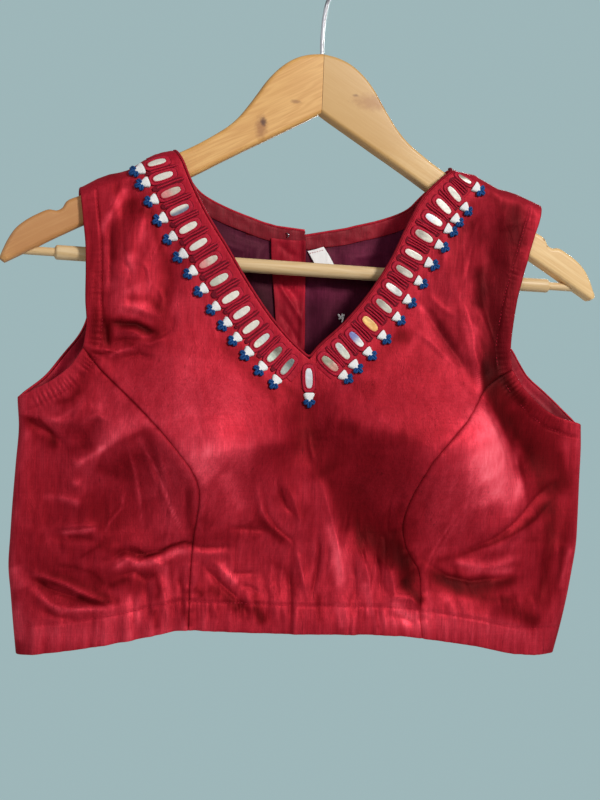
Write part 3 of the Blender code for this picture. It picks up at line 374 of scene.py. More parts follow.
# painted light and shade on the inside of the back, as seen through the neck and the armholes
INSIDE_PAINTED_SHADING = (
    (66, -202, 34, 26, 0, 0.7), (50, -232, 40, 30, 0, 0.9), (4, -256, 56, 16, 0, 0.6), (-36, -270, 16, 28, 0, -1.3),
    (-180, -315, 30, 34, 0, 1.5), (184, -312, 36, 36, 0, 0.9),
)
# Painted light and shade in strokes beside and between the folds, in the columns of the creases, the first one the
# amount
FRONT_PAINTED_STROKES = (
    (-1.55, 19, 6, 0, 124, -296, 131, -316, 140, -334, 150, -354, 160, -374, 167, -396),
    (0.75, 7, 17, 0, 118, -334, 127, -350, 136, -370, 143, -392, 147, -414),
    (-1.25, 12, 13, 0, 146, -178, 149, -206, 150, -232, 146, -262, 141, -286, 138, -310, 134, -330),
    (-0.6, 5, 6, 0, 84, -264, 96, -280, 108, -298, 118, -312),
    (-0.45, 5, 24, 0, -92, -392, -81, -384, -67, -380, -52, -377, -38, -374, -24, -372, -5, -370),
    (-0.35, 5, 22, 0, -4, -352, 7, -355, 19, -355, 36, -359, 56, -362, 80, -369),
    (-0.4, 16, 4, 0, 10, -392, 20, -412, 28, -436),
    (-0.6, 6, 8, 0, 86, -458, 106, -466, 128, -468, 148, -460),
    (0.4, 9, 9, 0, -205, -506, -120, -508, -60, -498),
    (0.35, 10, 10, 0, 60, -492, 120, -500, 190, -506),
    (0.65, 4, 4, 0, 204, -350, 205, -380, 203, -410, 198, -440, 194, -480),
    (-0.5, 5, 8, 0, -147, -287, -134, -287, -122, -291, -108, -298),
    (-0.6, 4, 4, 0, -153, -284, -152, -296, -150, -310),
    # left side panel
    (-0.45, 2.5, 2.5, 0, -185, -348, -173, -345, -166, -337),
    (0.35, 1.4, 1.4, 0.3, -190, -360, -181, -359, -171, -352, -165, -345, -162, -337),
    (-0.75, 1.6, 3.5, 0.2, -207, -358, -193, -360, -186, -367, -181, -378),
    (0.4, 3, 6, 0, -205, -370, -194, -369, -187, -377),
    (-0.45, 10, 10, 0, -177, -364, -164, -368, -161, -380),
    (0.35, 3, 3, 0, -161, -349, -153, -348, -149, -352),
    (0.45, 2, 2, 0, -170, -393, -164, -388, -159, -384, -154, -381, -147, -375),
    (0.2, 3, 3, 0, -170, -402, -163, -403),
    (0.45, 2.6, 3, 0, -192, -413, -179, -413, -170, -416, -161, -417),
    (0.75, 1.4, 2.4, 0.2, -178, -437, -166, -436, -150, -433),
    (-0.35, 3, 5, 0, -173, -440, -163, -440, -153, -438),
    (0.25, 3, 3, 0, -189, -432, -186, -439, -181, -447, -175, -454),
    (0.45, 8, 5, 0, -155, -384, -147, -373, -137, -363, -125, -358, -114, -356),
    (-0.75, 2.4, 26, 0, -155, -397, -149, -382, -139, -374, -128, -368, -116, -363),
    (-0.35, 12, 12, 0, -168, -417, -147, -423, -145, -438),
    (0.52, 0.9, 0.9, 0.3, -134, -374, -129, -394, -125, -413, -120, -436),
    (0.52, 0.9, 0.9, 0.3, -125, -372, -114, -394, -103, -418, -91, -437),
    (0.52, 0.9, 0.9, 0.3, -135, -407, -136, -419, -144, -430, -147, -438),
    (-0.5, 3, 3, 0, -91, -399, -90, -414, -85, -442),
    # tuck under the left bust, and the pocket fold beside it
    (-0.85, 1.6, 2, 0.3, -132, -444, -123, -447, -117, -452, -108, -449, -100, -444, -91, -441, -81, -443),
    (0.65, 1.5, 3, 0.2, -143, -463, -135, -458, -129, -453, -122, -457, -114, -456, -105, -452, -96, -447, -85, -448),
    (0.45, 4, 6, 0, -104, -455, -99, -468, -95, -482),
    (-0.5, 3, 3, 0, -119, -462, -110, -465, -107, -475, -110, -484),
    (-0.5, 2.6, 2.6, 0, -96, -465, -89, -476, -85, -483),
    (0.5, 1.3, 1.3, 0.3, -200, -466, -186, -467, -168, -474, -153, -480, -133, -484),
    (-0.95, 4.5, 4.5, 0, -191, -471, -179, -474, -166, -481, -151, -483, -137, -484),
    (0.55, 1.3, 2.4, 0.3, -197, -470, -188, -479, -181, -486, -172, -490, -155, -488, -130, -485),
    (-0.45, 1.6, 1.6, 0.2, -180, -459, -167, -460, -153, -464, -143, -474),
    (-0.35, 1.6, 1.6, 0.2, -164, -455, -157, -450, -148, -444),
    (-0.45, 2, 3, 0, -143, -474, -134, -469, -126, -467),
    (0.4, 4, 4, 0, -131, -480, -125, -484, -121, -495),
    # left strap
    (-0.3, 1, 1, 0, -162, -196, -158, -223, -155, -251, -154, -278, -149, -306),
    (-0.2, 7, 7, 0, -164, -198, -162, -237, -159, -279, -156, -306),
    (0.6, 2.4, 3.4, 0.1, -140, -192, -144, -205, -150, -214, -156, -224, -156, -232),
    (0.45, 5, 7, 0, -124, -212, -129, -221, -135, -236, -137, -247, -135, -258),
    (-0.5, 6, 5, 0, -143, -215, -146, -226, -148, -239, -147, -250),
    (0.4, 16, 16, 0, -137, -264, -131, -276, -125, -281),
    (-0.55, 9, 7, 0, -135, -199, -128, -211, -120, -224),
    (-0.45, 7, 7, 0, -112, -236, -107, -256, -111, -276, -112, -297),
    (-0.6, 2, 4, 0.2, -150, -288, -142, -289, -130, -290, -118, -295, -113, -297),
    (-0.5, 2.2, 2.2, 0.2, -149, -288, -147, -300, -148, -307),
    # middle of the front
    (0.45, 9, 9, 0, -102, -368, -86, -383, -74, -396),
    (0.45, 10, 16, 0, -89, -375, -69, -379, -45, -379),
    (0.45, 8, 8, 0, -70, -388, -57, -407, -50, -421),
    (0.35, 10, 10, 0, -92, -308, -96, -335, -95, -359),
    (-0.55, 6, 6, 0, -75, -295, -58, -311, -40, -328, -24, -342),
    (0.4, 9, 9, 0, -116, -381, -108, -405, -105, -440),
    (-0.55, 12, 14, 0, -7, -356, 0, -377, 9, -395),
    (-0.4, 8, 8, 0, -28, -403, -15, -416, 0, -420),
    (-0.45, 4, 4, 0, -39, -425, -28, -433, -18, -440),
    (-0.4, 6, 6, 0, -91, -441, -70, -438, -48, -435),
    (0.6, 4, 4, 0.2, 12, -424, 17, -441, 22, -459, 26, -474),
    (0.5, 4, 4, 0, -64, -454, -59, -464, -52, -471),
    (-0.7, 5, 5, 0, -73, -471, -59, -479, -50, -490),
    (-0.7, 4, 4, 0, -40, -475, -37, -488, -34, -499),
    (-0.45, 4, 4, 0, 7, -475, 8, -498),
    (-0.55, 5, 9, 0, -114, -475, -138, -469, -158, -473),
    # right side
    (-0.5, 8, 8, 0, 71, -280, 52, -299, 34, -316),
    (-0.25, 12, 12, 0, 71, -298, 94, -312),
    (-0.35, 8, 8, 0, 55, -359, 81, -359, 97, -356),
    (0.3, 14, 14, 0, 51, -365, 54, -393, 66, -419),
    (-1, 9, 10, 0, 32, -432, 54, -441, 70, -453, 83, -475),
    (0.85, 3, 12, 0, 135, -338, 147, -357, 160, -374, 166, -391, 169, -412),
    (0.45, 14, 14, 0, 114, -369, 123, -391, 131, -415),
    (-0.75, 24, 4.5, 0, 150, -337, 164, -357, 178, -371, 186, -391, 186, -407),
    (-0.55, 9, 9, 0, 200, -377, 203, -406, 201, -452, 196, -482),
    (-0.75, 1.6, 4.5, 0.2, 200, -403, 179, -421, 157, -432, 140, -440, 113, -450),
    (0.35, 4, 4, 0, 157, -439, 174, -430, 197, -416),
    (0.6, 5, 4, 0, 106, -450, 125, -456, 146, -455, 167, -447),
    (-0.95, 4, 6, 0, 93, -462, 111, -468, 129, -471, 154, -468, 169, -464),
    (0.35, 4, 4, 0, 113, -415, 103, -438, 92, -458, 86, -471),
    (-0.75, 8, 8, 0, 152, -181, 157, -202, 156, -218),
    (-0.75, 7, 7, 0, 125, -229, 129, -248, 125, -266),
    (-0.45, 9, 9, 0, 121, -180, 119, -202, 132, -216),
    (0.55, 1.8, 2.4, 0.2, 76, -264, 88, -273, 93, -282),
    (0.6, 1.6, 2, 0.2, 121, -275, 126, -291, 129, -300, 124, -311, 127, -326),
    # finer ones: lighter
    (0.35, 8, 8, 0, -153, -391, -139, -376, -119, -369),
    (0.2, 8, 8, 0, -126, -381, -119, -416),
    (0.5, 4, 13, 0, 153, -348, 162, -373, 163, -395, 159, -418),
    (0.35, 14, 14, 0, 111, -359, 121, -380, 132, -395),
    (0.5, 3, 3, 0, 119, -462, 141, -461, 162, -459),
    (0.35, 4, 4, 0, 123, -441, 143, -442, 167, -440),
    (0.5, 5, 5, 0, 63, -479, 70, -489, 79, -498),
    (0.3, 6, 6, 0, 22, -440, 30, -461, 38, -477),
    (0.45, 3, 3, 0, 20, -482, 26, -502),
    (0.45, 3, 3, 0, 42, -466, 47, -494),
    (0.35, 4, 4, 0, -207, -364, -209, -416, -210, -457, -204, -516),
    (0.5, 6, 6, 0, -206, -460, -199, -477),
    (0.65, 2, 2, 0.2, -187, -472, -173, -477, -160, -481),
    (0.4, 3, 3, 0, 216, -351, 218, -406, 217, -452, 205, -498),
    (0.35, 4, 4, 0, 2, -338, 5, -361),
    (0.45, 2.4, 2.4, 0, -147, -282, -131, -285, -115, -291),
    (0.3, 2.4, 2.4, 0, -146, -297, -130, -299),
    (0.4, 5, 5, 0, -153, -233, -149, -269),
    (0.5, 2, 3, 0, 119, -277, 124, -296, 128, -314, 126, -331),
    (0.22, 14, 14, 0, -83, -336, -53, -330),
    (0.2, 10, 10, 0, -114, -359, -84, -361),
    (0.22, 12, 12, 0, 56, -327, 94, -328),
    (0.25, 9, 9, 0, 35, -400, 65, -418),
    # finer ones: darker
    (-0.65, 4, 5, 0, -203, -358, -194, -370, -179, -379),
    (-0.6, 7, 7, 0, -160, -307, -162, -325, -170, -344),
    (-0.35, 6, 6, 0, -155, -324, -143, -336),
    (-0.55, 3, 3, 0, -159, -277, -157, -311),
    (-0.75, 6, 6, 0, -139, -200, -135, -222, -136, -245),
    (-0.35, 5, 5, 0, -151, -194, -142, -204),
    (-0.5, 4, 4, 0, -123, -206, -118, -227, -111, -245),
    (-0.6, 4, 4, 0, -140, -273, -121, -272, -110, -282),
    (-0.95, 5, 6, 0, 145, -311, 154, -324, 169, -334),
    (-0.7, 14, 12, 0, 191, -403, 194, -429, 191, -459, 187, -486),
    (-0.45, 4, 4, 0, 201, -366, 207, -400),
    (-0.65, 7, 7, 0, 147, -481, 167, -490, 185, -500),
    (-0.5, 4, 4, 0, 106, -474, 133, -479, 162, -481),
    (-1.1, 5, 5, 0, 69, -465, 78, -475, 88, -484),
    (-0.55, 6, 6, 0, 63, -427, 72, -452, 79, -472),
    (-0.5, 4, 4, 0, 95, -453, 111, -450, 123, -449),
    (-0.4, 4, 4, 0, 51, -451, 64, -458),
    (-0.45, 3, 3, 0, 34, -420, 38, -442, 42, -456),
    (-0.65, 5, 5, 0, -53, -484, -39, -489, -28, -497),
    (-0.75, 4, 4, 0, -83, -472, -76, -479),
    (-0.55, 3, 3, 0, -102, -451, -96, -479),
    (-0.65, 5, 5, 0, -155, -443, -139, -449, -118, -453),
    (-0.25, 14, 14, 0, -161, -406, -150, -427, -134, -438),
    (-0.55, 3, 3, 0, -89, -488, -85, -501),
    (-0.55, 3, 3, 0, -111, -487, -108, -502),
    (-0.4, 6, 6, 0, -83, -423, -71, -429),
    (-0.4, 5, 5, 0, -43, -419, -30, -430, -16, -442),
    (-0.45, 7, 7, 0, 5, -399, 15, -382, 22, -363),
    (-0.45, 6, 6, 0, 16, -355, 32, -359),
    (-0.4, 7, 7, 0, 25, -327, 45, -327),
    (-0.5, 6, 6, 0, 59, -286, 73, -292),
    (-0.35, 6, 6, 0, 94, -273, 112, -296),
    (-0.22, 10, 10, 0, -72, -369, -47, -358, -17, -347),
    (-0.6, 6, 6, 0, 123, -174, 136, -182, 146, -189),
    (-0.45, 7, 7, 0, 123, -235, 129, -247, 125, -267),
    (-0.45, 5, 5, 0, 109, -208, 119, -199),
    # finer ones: both
    (0.4, 5, 5, 0, 161, -360, 168, -373, 173, -385),
    (0.3, 4, 4, 0, -128, -368, -121, -376, -116, -383),
    (0.4, 3, 3, 0.2, -182, -474, -172, -478, -161, -482),
    (0.3, 4, 4, 0, 213, -440, 210, -460, 203, -476),
    (0.3, 4, 4, 0, -203, -489, -202, -514),
    (0.5, 1.3, 3, 0.5, 112, -272, 116, -285, 119, -297, 124, -312, 127, -324),
    (0.35, 2, 2, 0.3, 117, -275, 126, -282, 135, -292),
    (-0.45, 5, 5, 0, -152, -209, -146, -214),
    (-0.35, 5, 5, 0, -130, -208, -125, -216),
    (-0.45, 7, 7, 0, 172, -418, 175, -440),
    (-0.35, 6, 6, 0, -45, -425, -38, -439),
    (-0.3, 6, 6, 0, 169, -494, 185, -500),
    (-0.3, 12, 12, 0, 84, -443, 95, -461, 102, -481),
    (-0.45, 4, 4, 0, -59, -302, -49, -308, -39, -315),
    (-0.45, 4, 4, 0, -33, -322, -24, -329, -15, -336),
    (-0.25, 9, 9, 0, 131, -194, 137, -227, 134, -261, 137, -291, 138, -314),
    (-0.4, 2.5, 2.5, 0.3, 115, -289, 118, -303, 122, -318),
    (-0.35, 5, 5, 0, -8, -302, 0, -303),
    # finest ones
    (0.3, 9, 9, 0, -96, -380, -86, -390, -75, -398),
    (0.22, 8, 8, 0, -87, -376, -62, -379, -44, -378),
    (0.4, 5, 5, 0, 166, -367, 163, -381),
    (0.35, 4, 4, 0, 152, -406, 154, -420),
    (0.4, 3, 3, 0.2, 211, -440, 205, -463, 201, -476),
    (0.3, 4, 4, 0, 125, -460, 145, -460, 164, -459),
    (0.35, 3, 3, 0.3, 15, -444, 21, -467, 27, -488, 31, -501),
    (0.25, 6, 6, 0, 46, -494, 65, -496, 88, -501),
    (0.3, 4, 4, 0, 133, -276, 138, -295, 136, -314),
    (0.35, 5, 5, 0, -109, -219, -104, -245, -103, -272, -105, -290),
    (0.2, 4, 4, 0, -160, -263, -146, -266, -136, -263),
    (0.35, 3, 3, 0.2, -170, -240, -169, -251),
    (0.3, 4, 4, 0, -208, -343, -207, -364),
    (0.3, 3, 3, 0, 214, -344, 214, -367),
    (0.25, 6, 6, 0, -153, -387, -138, -376, -121, -375),
    (-0.35, 7, 7, 0, -201, -369, -191, -374, -180, -377),
    (-0.35, 5, 5, 0, -177, -381, -165, -380, -154, -376),
    (-0.3, 5, 5, 0, -149, -441, -139, -441, -127, -439),
    (-0.45, 3, 3, 0.3, -186, -464, -168, -469, -151, -476, -136, -483),
    (-0.45, 6, 6, 0, 169, -479, 183, -482, 196, -485),
    (-0.35, 4, 4, 0.2, -31, -453, -18, -459, -11, -471, -11, -482),
    (-0.35, 5, 5, 0, -61, -475, -52, -487, -43, -498),
    (-0.3, 6, 6, 0, -98, -476, -87, -490, -84, -499),
    (-0.3, 7, 7, 0, 76, -421, 77, -441),
    (-0.3, 6, 6, 0, 101, -422, 106, -443),
    (-0.25, 4, 4, 0, 0, -410, 0, -442),
    (-0.35, 6, 6, 0, 110, -203, 103, -219, 102, -238, 106, -248),
    (-0.35, 4, 4, 0, 109, -264, 111, -292),
    (-0.3, 8, 8, 0, -153, -181, -147, -190, -142, -198),
    (-0.3, 3, 3, 0, -162, -284, -160, -307),
    (-0.25, 8, 8, 0, -151, -310, -133, -317, -120, -326),
    (-0.25, 9, 9, 0, -136, -344, -127, -350, -120, -357),
    (-0.3, 7, 7, 0, -183, -348, -170, -345, -153, -346),
    (-0.2, 11, 11, 0, 16, -352, 35, -342, 53, -334),
    (-0.3, 4, 4, 0, 204, -372, 203, -405),
    (-0.35, 5, 5, 0, 150, -314, 157, -328, 181, -341),
    (-0.25, 5, 5, 0, 186, -342, 199, -354),
    (0.3, 6, 6, 0, 150, -333, 169, -358, 162, -384),
    (0.3, 4, 4, 0, 189, -390, 202, -388),
    (0.3, 4, 4, 0, 208, -436, 205, -469),
    (0.4, 2.5, 2.5, 0.3, -186, -471, -175, -477, -163, -482),
    (0.22, 4, 4, 0, -208, -421, -204, -431, -194, -433),
    (0.28, 5, 5, 0, -149, -495, -133, -492, -116, -497),
    (0.28, 4, 4, 0, -203, -483, -200, -516),
    (-0.3, 6, 6, 0, 132, -346, 142, -362),
    (-0.22, 8, 8, 0, 123, -393, 132, -404),
    (-0.35, 5, 5, 0, 111, -449, 115, -463, 115, -479),
    (-0.35, 6, 6, 0, 128, -482, 154, -490, 183, -500),
    (-0.4, 4, 4, 0.2, -151, -478, -141, -483, -133, -484),
    (-0.25, 5, 5, 0, -179, -445, -160, -450, -141, -455),
    (-0.25, 6, 6, 0, -73, -472, -67, -484, -66, -496),
    (-0.25, 7, 7, 0, -24, -378, -21, -396, -18, -410),
    # crisp lines: left armhole, left tuck, below the right bust
    (-0.6, 1.3, 3.4, 0.3, -149, -289, -140, -291, -131, -290, -123, -293, -117, -296),
    (-0.4, 1.5, 1.5, 0.3, -149, -290, -149, -296, -149, -304),
    (-0.8, 1, 1, 0.3, -161, -311, -153, -312, -145, -310),
    (-0.5, 2.4, 2.4, 0.2, -139, -302, -131, -306),
    (0.5, 0.9, 0.9, 0.4, -134, -298, -127, -299, -121, -299, -116, -295),
    (0.5, 0.9, 0.9, 0.4, -149, -315, -145, -312, -140, -309, -130, -308),
    (-0.4, 1.3, 1.3, 0.2, -160, -316, -150, -327, -138, -338, -126, -350, -114, -363),
    (-0.5, 0.9, 0.9, 0.4, -123, -447, -117, -452, -108, -449, -100, -444, -91, -441, -81, -443),
    (0.26, 1, 1, 0.4, 87, -463, 93, -450, 100, -436, 108, -421),
    (-0.5, 6, 6, 0, 51, -446, 63, -450, 77, -457),
    (-0.4, 5, 5, 0, 60, -436, 70, -445, 80, -455),
    (-0.4, 2.5, 2.5, 0, 84, -468, 82, -480, 84, -490),
    (0.35, 2.5, 2.5, 0, 90, -472, 93, -484, 92, -496),
    (-0.35, 1.2, 1.2, 0.3, 92, -457, 98, -445, 105, -431, 113, -417),
    (-0.4, 4, 4, 0, 102, -466, 115, -473, 132, -476, 149, -474),
    (0.35, 3, 3, 0, 101, -474, 107, -482),
    (-0.45, 1.2, 1.2, 0.2, 50, -486, 51, -494, 53, -502),
)

# --- Form of the blouse -------------------------------------------------------------------------------------


def hermite(stations, values, t):
    """Smooth curve through the values given at rising stations."""
    stations = np.asarray(stations, float)
    values = np.asarray(values, float)
    step = np.diff(stations)
    secant = np.diff(values, axis=0) / (step if values.ndim == 1 else step[:, None])
    slope = np.concatenate([secant[:1], (secant[1:] + secant[:-1]) / 2, secant[-1:]])
    t = np.clip(np.asarray(t, float), stations[0], stations[-1])
    k = np.clip(np.searchsorted(stations, t, side="right") - 1, 0, len(step) - 1)
    h = step[k]
    q = (t - stations[k]) / h
    if values.ndim > 1:
        h, q = h[..., None], q[..., None]
    return (
        values[k] * (1 + 2 * q) * (1 - q) ** 2
        + slope[k] * h * q * (1 - q) ** 2
        + values[k + 1] * q * q * (3 - 2 * q)
        + slope[k + 1] * h * q * q * (q - 1)
    )


def column(table, number):
    return np.array([row[number] for row in table])


def across(table, z, side):
    """x of an edge at a height, on the left (-1) or the right (1)."""
    return hermite(column(table, 0)[::-1], column(table, 1 if side < 0 else 2)[::-1], z)


def edge(table, z, side, shift=0.0):
    """Points of an edge at some heights, shifted away from the middle."""
    return np.stack([across(table, z, side) + side * shift, z], axis=1)


def side_seam(x, z):
    """x of the side seam that is nearer to x."""
    return np.where(x < 0, across(SIDE, z, -1), across(SIDE, z, 1))


def crest(x):
    """Height of the shoulder line at x."""
    x = np.asarray(x, float)
    left, right = (np.interp(np.abs(x), column(CREST, 0), column(CREST, k)) for k in (1, 2))
    return np.where(x < 0, left, right)


def hem(x):
    """Height of the hem at x."""
    return hermite(column(HEM, 0), column(HEM, 1), x)


def cap(q):
    """Quarter circle: 0 at the rim, 1 from one radius in."""
    q = np.clip(q, 0.0, 1.0)
    return np.sqrt(q * (2.0 - q))


def smooth(q):
    q = np.clip(q, 0.0, 1.0)
    return q * q * (3.0 - 2.0 * q)


def ridge(d, width):
    """Soft bump of height 1 over a distance."""
    return np.exp(-((d / width) ** 2))


def from_sides(x, z):
    return np.minimum(x - across(SIDE, z, -1), across(SIDE, z, 1) - x)


def depth(x, z, front):
    """Distance of the outer side of the cloth from the middle plane."""
    inwards = from_sides(x, z)
    sheet = hermite(column(SHEET, 0)[::-1], column(SHEET, 1 if front else 2)[::-1], z)
    reach = np.clip(inwards / SIDE_REACH, 0.0, 1.0)
    out = SIDE_RADIUS * cap(inwards / SIDE_RADIUS) + (sheet - SIDE_RADIUS) * reach * (2.0 - reach)
    if front:
        for cx, cz, to_side, to_centre, up, down, height in CUPS:
            wide = np.where((x - cx) * cx > 0, to_side, to_centre)
            tall = np.where(z > cz, up, down)
            q = np.minimum(((x - cx) / wide) ** 2 + ((z - cz) / tall) ** 2, 1.0)
            out = out + height * (0.5 + 0.5 * np.cos(math.pi * np.sqrt(q)))
    return out * cap((crest(x) - z) * CREST_SLOPE / CREST_RADIUS)


def outward(x, z, front):
    """Unit normals of the smooth form, pointing out of the blouse."""
    e = 0.02
    nothing = np.zeros(x.shape)
    side = np.where(x < 0, -1.0, 1.0)
    along_x = (depth(x + e, z, front) - depth(x - e, z, front)) / (2 * e)
    along_z = (depth(x, z + e, front) - depth(x, z - e, front)) / (2 * e)
    normal = np.stack([-along_x, nothing + (-1.0 if front else 1.0), -along_z], axis=-1)
    lean_out = (side_seam(x, z + 1.0) - side_seam(x, z - 1.0)) / 2.0
    at_side = ((side_seam(x, z) - x) * side < e) & (z < -340.0)
    normal = np.where(at_side[..., None], np.stack([side, nothing, -side * lean_out], axis=-1), normal)
    fall = (crest(x + 1.0) - crest(x - 1.0)) / 2.0
    at_crest = (crest(x) - z < e) & ~at_side
    normal = np.where(at_crest[..., None], np.stack([-fall, nothing, nothing + 1.0], axis=-1), normal)
    return normal / np.linalg.norm(normal, axis=-1, keepdims=True)


def near_line(points, x, z):
    """Distance from a line, which side of it (1 for the left), how far along it, and its length."""
    points = np.asarray(points, float)
    best = np.full(x.shape, 1e9)
    sign = np.ones(x.shape)
    along = np.zeros(x.shape)
    walked = 0.0
    for a, b in zip(points, points[1:]):
        way = b - a
        length = math.hypot(*way)
        t = np.clip(((x - a[0]) * way[0] + (z - a[1]) * way[1]) / length**2, 0.0, 1.0)
        dx = x - a[0] - t * way[0]
        dz = z - a[1] - t * way[1]
        distance = np.hypot(dx, dz)
        closer = distance < best
        best = np.where(closer, distance, best)
        sign = np.where(closer, np.sign(way[0] * dz - way[1] * dx), sign)
        along = np.where(closer, walked + t * length, along)
        walked += length
    return best, sign, along, walked


def nearest(lines, x, z):
    """Distance from the nearest of some lines."""
    return np.min([near_line(line, x, z)[0] for line in lines], axis=0)


def noise(seed):
    """A smooth random field, about -1 to 1, on a lattice that repeats."""
    count = 97
    grid = np.random.RandomState(seed).uniform(-1.0, 1.0, (count, count))

    def field(a, b):
        ia, ib = np.floor(a).astype(int), np.floor(b).astype(int)
        fa, fb = smooth(a - ia), smooth(b - ib)
        rows = []
        for j in (ib % count, (ib + 1) % count):
            rows.append(grid[ia % count, j] * (1 - fa) + grid[(ia + 1) % count, j] * fa)
        return rows[0] * (1 - fb) + rows[1] * fb

    return field


broad_noise = noise(11)
middle_noise = noise(23)
fine_noise = noise(37)
pucker_noise = noise(41)
lining_noise = noise(53)
lining_fine = noise(59)


def lengths(points):
    """How far along a line each of its points is."""
    return np.concatenate([[0.0], np.cumsum(np.linalg.norm(np.diff(points, axis=0), axis=1))])


def resampled(points, count):
    """Points at equal steps along a smooth line through the given ones."""
    points = np.asarray(points, float)
    length = lengths(points)
    return hermite(length, points, np.linspace(0.0, length[-1], count))


def directions(line):
    """Unit vectors along a flat line, and to the left of it."""
    way = np.gradient(line, axis=0)
    way /= np.linalg.norm(way, axis=1, keepdims=True)
    return way, np.stack([-way[:, 1], way[:, 0]], axis=1)


def meet(table, side):
    """Where an edge of the neck or the armhole reaches the shoulder line."""
    low, high = table[1][0] - 60.0, table[0][0]
    for _ in range(50):
        z = (low + high) / 2
        if z < crest(across(table, z, side)):
            low = z
        else:
            high = z
    return low


def neck_line(table, side, count):
    """Points down a neckline from the shoulder to its middle."""
    return resampled(edge(table, np.linspace(meet(table, side), table[-1][0], 120), side), count)


def scye_line(side, front, count):
    """Points down an armhole from the shoulder to the side seam."""
    low = SCYE[front, side]
    upper = edge(ARMHOLE, np.linspace(meet(ARMHOLE, side), low[0][1], 40)[:-1], side)
    return resampled(np.concatenate([upper, resampled(low, 40)]), count)


ARMHOLES = {(front, side): scye_line(side, front, 36) for front in (True, False) for side in (-1, 1)}
NECKS = {
    (front, side): neck_line(table, side, 24)
    for front, table in ((True, NECKLINE), (False, BACK_NECKLINE))
    for side in (-1, 1)
}
PRINCESS_LINES = {side: edge(PRINCESS, np.linspace(V_Z, -506.0, 26), side) for side in (-1, 1)}

# --- Creases of the cloth, and painted light and shade --------------------------------------------------------


def puckers(d, along, seed, pitch, height, reach, row):
    """Small ridges square to a row of stitches that lies at a distance from an edge."""
    warped = along / pitch + 0.8 * pucker_noise(along / 9.0 + seed, along * 0 + seed)
    strength = 0.55 + 0.45 * pucker_noise(along / 14.0 + seed * 3, along * 0 + 7.0)
    ridges = np.cos(2 * math.pi * warped) * ridge(d - row * 0.75, reach) * strength * height
    return ridges - 0.55 * ridge(d - row, 0.9)


def fold_sum(folds, x, z, fade=0.35, sharper=0.0):
    """Sum of folds laid along their courses, each fading over a share of its length at its ends."""
    total = np.zeros(x.shape)
    for height, left, right, crisp, *course in folds:
        course = np.reshape(course, (-1, 2))
        low = np.min(course, axis=0) - 4 * max(left, right)
        high = np.max(course, axis=0) + 4 * max(left, right)
        near = (x > low[0]) & (x < high[0]) & (z > low[1]) & (z < high[1])
        if not near.any():
            continue
        d, sign, along, length = near_line(course, x[near], z[near])
        q = d / np.where(sign > 0, left, right)
        if height < 0 and left + right < 12:
            q = q * 1.3
        if left + right < 14:
            crisp = min(1.0, crisp + sharper)
        bump = (1 - crisp) * np.exp(-q * q) + crisp * np.exp(-1.5 * q)
        share = along / length
        total[near] += height * bump * (0.15 + 0.85 * smooth(share / fade) * smooth((1 - share) / fade))
    return total


def blobs(table, x, z):
    """Sum of soft round bumps."""
    total = np.zeros(x.shape)
    for cx, cz, wide, tall, turned, height in table:
        c, s = math.cos(math.radians(turned)), math.sin(math.radians(turned))
        u = ((x - cx) * c + (z - cz) * s) / wide
        v = ((z - cz) * c - (x - cx) * s) / tall
        total += height * (0.5 + 0.5 * np.cos(math.pi * np.sqrt(np.minimum(u * u + v * v, 1.0))))
    return total


def crinkles(x, z, seed):
    """Fine, sharp creases up and down the cloth, uneven in length and place."""

    def lines(field, a, b, thin):
        return np.maximum(1.0 - thin * np.abs(field(a, b)), 0.0) ** 2

    warp = 5.0 * broad_noise(x / 37.0 + seed, z / 44.0 + 3.0)
    raised = lines(middle_noise, (x + warp) / 12.0 + 50.0, z / 52.0 + seed, 2.2)
    sunk = lines(fine_noise, (x - warp) / 9.0 + 20.0, z / 38.0 + seed, 2.4)
    slant = lines(fine_noise, (x + 0.8 * z) / 15.0 + 31.0, (z - 0.5 * x) / 26.0 + seed, 2.6)
    where = 0.5 + 0.5 * broad_noise(x / 26.0 + 9.0, z / 33.0 + 17.0 + seed)
    other = 0.5 + 0.5 * broad_noise(x / 29.0 + 40.0, z / 31.0 + 60.0 + seed)
    return 1.1 * raised * where - 1.0 * sunk * other + 0.6 * slant * where * other


